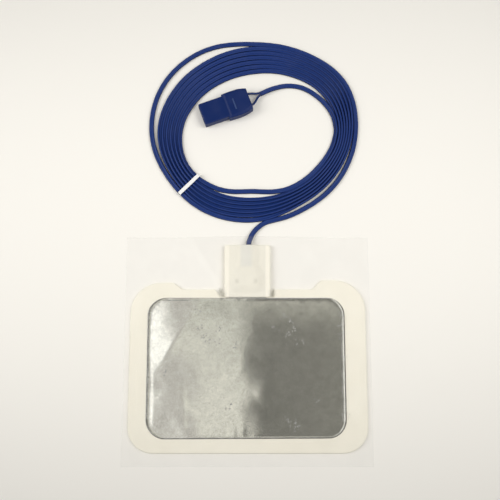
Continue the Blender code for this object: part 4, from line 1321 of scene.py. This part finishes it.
def channel_rise(x, y):
    """How far the cover is pushed up here by the cord, its two cores and their crimps."""
    (left, crimp_y), (right, _) = CRIMPS
    half = CORE_PITCH / 2
    apart = min(1.0, max(0.0, (CORE_SPLIT - y) / (CORE_SPLIT - CORES_STRAIGHT)))
    left = CORD_ENTRY_X - half + (left - CORD_ENTRY_X + half) * apart
    right = CORD_ENTRY_X + half + (right - CORD_ENTRY_X - half) * apart
    away = hypot(max(0.0, left - x, x - right), max(0.0, crimp_y - y))
    if away >= CHANNEL_HALF_WIDTH:
        return 0.0
    place = min(1.0, max(0.0, (x - left) / (right - left)))
    sag = CHANNEL_SAG * apart * sin(pi * place) ** 2
    return (CHANNEL_HEIGHT - sag) * cos(pi / 2 * away / CHANNEL_HALF_WIDTH) ** 1.5


ridge = channel_rise(CORD_ENTRY_X, TAB_END)
print("the cord lifts the cover by", round(ridge / MM, 2), "mm at the tab's end")

# %% [markdown]
# ## What shows through the cover
#
# The cover's finish is the foam group again, in the colour that it has over the tongue. Beside the tongue
# it is paler, and over the cord and the two crimps it is a little darker, because they show through.
# Each is a soft-edged rectangle of the plan, made from the distance to its middle along X and along Y.

# %% Shade and lay the cover
TONGUE_EDGE = 0.5 * MM
BARE_MARGIN = (0.955, 0.915, 0.80, 1.0)
CORD_SHADOW = (0.60, 0.62, 0.62, 1.0)
CORD_SHADOW_X = CORD_ENTRY_X - 1.5 * MM
CORD_SHADOW_SIZE = (4.0 * MM, 9.0 * MM)
CORD_SHADOW_EDGE = 1.6 * MM
CRIMP_SHADOW = (0.52, 0.50, 0.42, 1.0)
CRIMP_SHADOW_SIZE = (1.3 * MM, 1.6 * MM)
CRIMP_SHADOW_EDGE = 1.0 * MM
SHADOW_STRENGTH = 0.32
COVER_THICKNESS = 1.6 * MM
COVER_STEP = 1.2 * MM
COVER_RIM = [(0.1, 0.0), (0.0, 0.1), (0.0, 0.7), (0.1, 0.88), (0.32, 0.97), (0.7, 1.0)]
PRESS_LINE = 3.5 * MM
PRESS_DEPTH = 0.12 * MM
PRESS_HALF_WIDTH = 0.35 * MM
COVER_WAVE_DEPTH = 0.05 * MM
COVER_WAVE = 6 * MM


def box_mask(tree, place, middle, half_size, softness):
    """1 inside a rectangle of the plan and 0 outside it, with a soft edge."""
    axes = axes_of(tree, place)
    sides = []
    for axis, at, half in zip("XY", middle, half_size):
        away = calculate(tree, "ABSOLUTE", calculate(tree, "SUBTRACT", axes[axis], at))
        sides.append(remap(tree, away, half - softness, half + softness, 1.0, 0.0))
    return times(tree, *sides)


def cover_shadows(tree, tone):
    """The tongue, the cord and the crimps, faintly darker through the cover."""
    place = object_place(tree)
    end = TAB_END + 5 * MM
    tongue_size = (TONGUE_HALF_WIDTH, (end - FOIL_END) / 2)
    tongue = box_mask(tree, place, (0.0, (FOIL_END + end) / 2), tongue_size, TONGUE_EDGE)
    middle = (CORD_SHADOW_X, (TAB_END + CORE_SPLIT) / 2)
    cord = box_mask(tree, place, middle, CORD_SHADOW_SIZE, CORD_SHADOW_EDGE)
    dots = []
    for x, y in CRIMPS:
        middle = (x, y + CRIMP_LENGTH / 2)
        dots.append(box_mask(tree, place, middle, CRIMP_SHADOW_SIZE, CRIMP_SHADOW_EDGE))
    dots = calculate(tree, "MAXIMUM", *dots)
    tone = blend_colours(tree, calculate(tree, "SUBTRACT", 1.0, tongue), tone, BARE_MARGIN)
    tone = blend_colours(tree, times(tree, cord, SHADOW_STRENGTH), tone, CORD_SHADOW)
    return blend_colours(tree, times(tree, dots, SHADOW_STRENGTH), tone, CRIMP_SHADOW)


def cover_bottom(x, y):
    return cover_low.z + channel_rise(x, y)


def cover_top(x, y):
    press = PRESS_DEPTH / (1 + ((y - FOIL_END - PRESS_LINE) / PRESS_HALF_WIDTH) ** 2)
    uneven = COVER_WAVE_DEPTH * (1 + waves(x, y, COVER_WAVE, 2.2))
    return cover_low.z + COVER_THICKNESS + channel_rise(x, y) - press - uneven


def cover_outline():
    side = TAB_HALF_WIDTH
    return rounded_rectangle(-side, side, cover_low.y, TAB_END, TAB_CORNER, 4)


tab_cover = make_layer(
    "tab_cover",
    evened(cover_outline(), COVER_STEP),
    in_metres(COVER_RIM),
    cover_bottom,
    cover_top,
    COVER_STEP,
    foam_material("cover_foam", COVER_COLOUR, cover_shadows),
)
print("tab_cover has", len(tab_cover.data.polygons), "faces")

# %% [markdown]
# ## Release film
#
# A clear sheet of plastic covers the sticky side and reaches past the foam. It is almost invisible: it
# dims the card a little, catches light along its edges and creases, and bridges the steps under it.
# The sheet is a fine grid that is lifted to the highest thing below it, and made thick.

# %% How high the film lies
FILM_CLEARANCE = 0.2 * MM
FILM_OVER_GEL = 0.15 * MM
FILM_SLOPE_REACH = 16.0 * MM
FILM_TENT_REACH = 45.0 * MM
COVER_TOP = cover_low.z + COVER_THICKNESS
TENT_TOP = COVER_TOP + CHANNEL_HEIGHT + 0.5 * MM
FILM_SPARE = 6.0 * MM
FOAM_SPARE = 2 * MM
FILM_WAVE_DEPTH = 0.08 * MM
FILM_WAVE = 14 * MM
CREASE_HALF_WIDTH = 1.2
# Each crease of the film: its two ends and how high it stands
FILM_CREASES = [
    ((-40.8, 92.0), (-19.9, 57.0), 0.5),
    ((-86.0, -49.0), (-69.0, -68.0), 0.6),
    ((30.0, 92.0), (34.0, 66.0), 0.25),
]


def beyond(x, y, half_width, bottom, top):
    """How far a point of the plan lies outside a rectangle that is even about the Y axis."""
    return hypot(max(0.0, abs(x) - half_width), max(0.0, bottom - y, y - top))


def eased(share):
    """1 at a share of 0, falling smoothly to 0 at a share of 1."""
    share = min(1.0, max(0.0, share))
    return 1 - share * share * (3 - 2 * share)


def film_height(x, y):
    half_spare = FILM_SPARE / 2
    ears_end = FOIL_END + EAR_BORDER + FOAM_SPARE
    on_gel = beyond(x, y, FOIL_HALF_WIDTH + half_spare, -FOIL_END - half_spare, FOIL_END)
    on_foam = beyond(x, y, foam_high.x + FOAM_SPARE, foam_low.y - FOAM_SPARE, ears_end)
    on_tab = beyond(x, y, TAB_HALF_WIDTH + FOAM_SPARE, FOIL_END - FILM_SPARE, TAB_END + FILM_SPARE)
    ridge = hypot(x - CORD_ENTRY_X, max(0.0, CRIMPS[0][1] - y) * 3)
    ridge = max(0.0, ridge - CHANNEL_HALF_WIDTH)
    heights = [
        (gel_high.z + FILM_OVER_GEL) * eased(on_gel / FILM_SLOPE_REACH),
        FOAM_TOP * eased(on_foam / FILM_SLOPE_REACH),
        COVER_TOP * eased(on_tab / FILM_SLOPE_REACH),
        TENT_TOP * eased(ridge / FILM_TENT_REACH),
    ]
    height = max(heights) + FILM_CLEARANCE
    height += FILM_WAVE_DEPTH * (1 + waves(x, y, FILM_WAVE, 4.4))
    for start, end, rise in FILM_CREASES:
        away = distance_to_run(x / MM, y / MM, start, end)
        height += rise * MM / (1 + (away / CREASE_HALF_WIDTH) ** 2)
    return height


print("the film's tent is", round(film_height(CORD_ENTRY_X, TAB_END) / MM, 1), "mm high")

# %% [markdown]
# ## What the film shows
#
# Clear film shows mostly by what it does to things under it. Each point of the mesh keeps two painted
# shades: over the tented part beside the tab, and over the two notches. The finish reads them, adds an
# even haze, lets the gloss grow where the film is seen edge on, and paints a pale sheen into it there.

# %% Mark and finish the film
FILM_GREY = (0.42, 0.41, 0.37, 1.0)
# Painted sheen: the film's colour where it is seen edge on
FILM_EDGE_SHEEN = (0.92, 0.92, 0.90, 1.0)
# A painted shade for the film over the two notches beside the tab
FILM_NOTCH_SHADE = (0.13, 0.125, 0.06, 1.0)
FILM_GLOSS_INDEX = 1.22
FILM_HAZE = (0.022, 0.034)
# How much the painted shade over the tented part, and that over the two notches, add to the film's haze
TENT_SHADE_STRENGTH = 0.022
NOTCH_SHADE_STRENGTH = 0.30
# In millimetres: how far beside the long crease the painted tent shade is full, from which X it fades,
# over what width
TENT_SHADE_EDGE = 2.5
TENT_SHADE_FADES_FROM = 20
TENT_SHADE_FADES_OVER = 45
# Each patch of painted shade over a notch: its two ends and its reach
NOTCH_SHADE_PATCHES = [((-17.4, 50.2), (-19.0, 53.0), 3.4), ((17.6, 50.2), (17.8, 52.6), 2.9)]


def painted_tent_shade(x, y):
    """How strong the painted shade over the tented part beside the tab is, from 0 to 1."""
    start, end, _ = FILM_CREASES[0]
    run = Vector((end[0] - start[0], end[1] - start[1])).normalized()
    beside = run.x * (y / MM - start[1]) - run.y * (x / MM - start[0])
    return (1 - eased(beside / TENT_SHADE_EDGE)) * eased((x / MM - TENT_SHADE_FADES_FROM) / TENT_SHADE_FADES_OVER)


def painted_notch_shade(x, y):
    """Where a painted shade darkens the film: over the two notches beside the tab. From 0 to 1."""
    folds = 0.0
    for start, end, reach in NOTCH_SHADE_PATCHES:
        folds = max(folds, eased(distance_to_run(x / MM, y / MM, start, end) / reach))
    return folds


def film_material():
    material, tree, shader = new_material("clear_film", FILM_GREY[:3], 0.07)
    gloss = add_node(tree, "ShaderNodeFresnel", {"IOR": FILM_GLOSS_INDEX}).outputs[0]
    under_side = add_node(tree, "ShaderNodeNewGeometry").outputs["Backfacing"]
    shine = times(tree, gloss, calculate(tree, "SUBTRACT", 1.0, under_side))
    haze = noise_value(tree, object_place(tree), 70.0)
    haze = remap(tree, haze, *NOISE_RANGE, *FILM_HAZE)
    marks = axes_of(tree, attribute_of(tree, "marks")["Vector"])
    # Painted shade over the tented part beside the tab, added as haze
    dim = times(tree, marks["X"], TENT_SHADE_STRENGTH)
    # Painted shade over the two notches, added as haze and, below, as a dark colour
    dark = times(tree, marks["Y"], NOTCH_SHADE_STRENGTH)
    haze = plus(tree, haze, plus(tree, dim, dark))
    edge_on = add_node(tree, "ShaderNodeLayerWeight", {"Blend": 0.5}).outputs["Facing"]
    # Painted sheen: the film's colour turns pale where it is seen edge on
    pale = remap(tree, edge_on, 0.25, 0.75)
    tone = blend_colours(tree, pale, FILM_GREY, FILM_EDGE_SHEEN)
    tone = blend_colours(tree, marks["Y"], tone, FILM_NOTCH_SHADE)
    feed(tree, shader.inputs["Base Color"], tone)
    feed(tree, shader.inputs["Alpha"], calculate(tree, "ADD", shine, haze, clamp=True))
    return material


clear_film = film_material()
print(clear_film.name, "made")

# %% [markdown]
# ## Lay the film
#
# The grid fills the film's own rectangle, each of its points takes the height that was worked out above,
# and a Solidify modifier makes it thick. It casts no shadow, because clear film casts almost none.

# %% Build the film
FILM_CELL = 1.3 * MM
FILM_THICKNESS = 0.12 * MM


def make_film():
    width = film_high.x - film_low.x
    length = film_high.y - film_low.y
    columns = ceil(width / FILM_CELL)
    rows = ceil(length / FILM_CELL)
    build = bmesh.new()
    bmesh.ops.create_grid(build, x_segments=columns, y_segments=rows, size=0.5)
    for vert in build.verts:
        x = film_low.x + (vert.co.x + 0.5) * width
        y = film_low.y + (vert.co.y + 0.5) * length
        vert.co = (x, y, film_height(x, y))
    film = add_piece("release_film", build, clear_film)
    marks = film.data.attributes.new("marks", "FLOAT_VECTOR", "POINT")
    for mark, vert in zip(marks.data, film.data.vertices):
        mark.vector = (painted_tent_shade(vert.co.x, vert.co.y), painted_notch_shade(vert.co.x, vert.co.y), 0.0)
    solid = film.modifiers.new("thickness", "SOLIDIFY")
    solid.thickness = FILM_THICKNESS
    solid.offset = 1.0
    film.visible_shadow = False
    film.visible_diffuse = False
    return film


release_film = make_film()
print("release_film has", len(release_film.data.polygons), "faces")

# %% [markdown]
# ## Metal and cores from the frame
#
# The crimps, the contacts, the cores and the two halves of the plug already have their true shape in
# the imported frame. They keep it and only get a finish.

# %% Finish the frame's own pieces
BRASS = (0.80, 0.62, 0.30)
TIN = (0.75, 0.72, 0.66)
SCRATCH_DULL = 0.12


def metal_material(name, colour, roughness):
    material, tree, shader = new_material(name, colour, roughness, metallic=1.0)
    scratch = noise_value(tree, object_place(tree), 900.0, 3.0)
    dull = remap(tree, scratch, *NOISE_RANGE, roughness, roughness + SCRATCH_DULL)
    feed(tree, shader.inputs["Roughness"], dull)
    feed(tree, shader.inputs["Normal"], bump(tree, scratch, 0.02 * MM, 0.3))
    return material


brass = metal_material("contact_brass", BRASS, 0.22)
tinned = metal_material("tinned_brass", TIN, 0.28)
FRAME_FINISHES = {
    "tab_core_left": cord_blue,
    "tab_core_right": cord_blue,
    "plug_core_left": cord_blue,
    "plug_core_right": cord_blue,
    "tab_crimp_left": tinned,
    "tab_crimp_right": tinned,
    "plug_contact_left": brass,
    "plug_contact_right": brass,
    "plug_lower_shell": plug_blue,
    "plug_upper_shell": plug_blue,
    "coil_tie": band_white,
}
for node, material in FRAME_FINISHES.items():
    node_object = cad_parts[node]
    node_object.data.materials.clear()
    node_object.data.materials.append(material)
print("finished", len(FRAME_FINISHES), "frame nodes")

# %% [markdown]
# ## Tell the frame what each piece is
#
# Every new piece rides on the one body, names the solid that it stands for, and names the material slot
# that its finish belongs to. The cord and the film are declared as what they are.

# %% Ride and hide what is replaced
STANDS_FOR = [
    (foam_pad, "foam", ["backing_foam"]),
    (foil_sheet, "foil", ["foil_plate"]),
    (gel_pad, "gel", ["gel_layer"]),
    (tab_cover, "foam", ["tab_cover_foam"]),
    (release_film, "release_film", ["release_liner"]),
    (twin_cord, "cord_blue", ["cord_lead", "cord_coil", "cord_tail"]),
]
for piece, slot, nodes in STANDS_FOR:
    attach(piece, "root")
    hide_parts(*nodes)
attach(gel_bubbles, "root")

ON_CORD = ["coil_tie", "plug_lower_shell", "plug_upper_shell", "plug_contact_left", "plug_contact_right"]
ON_CORD += ["plug_core_left", "plug_core_right"]
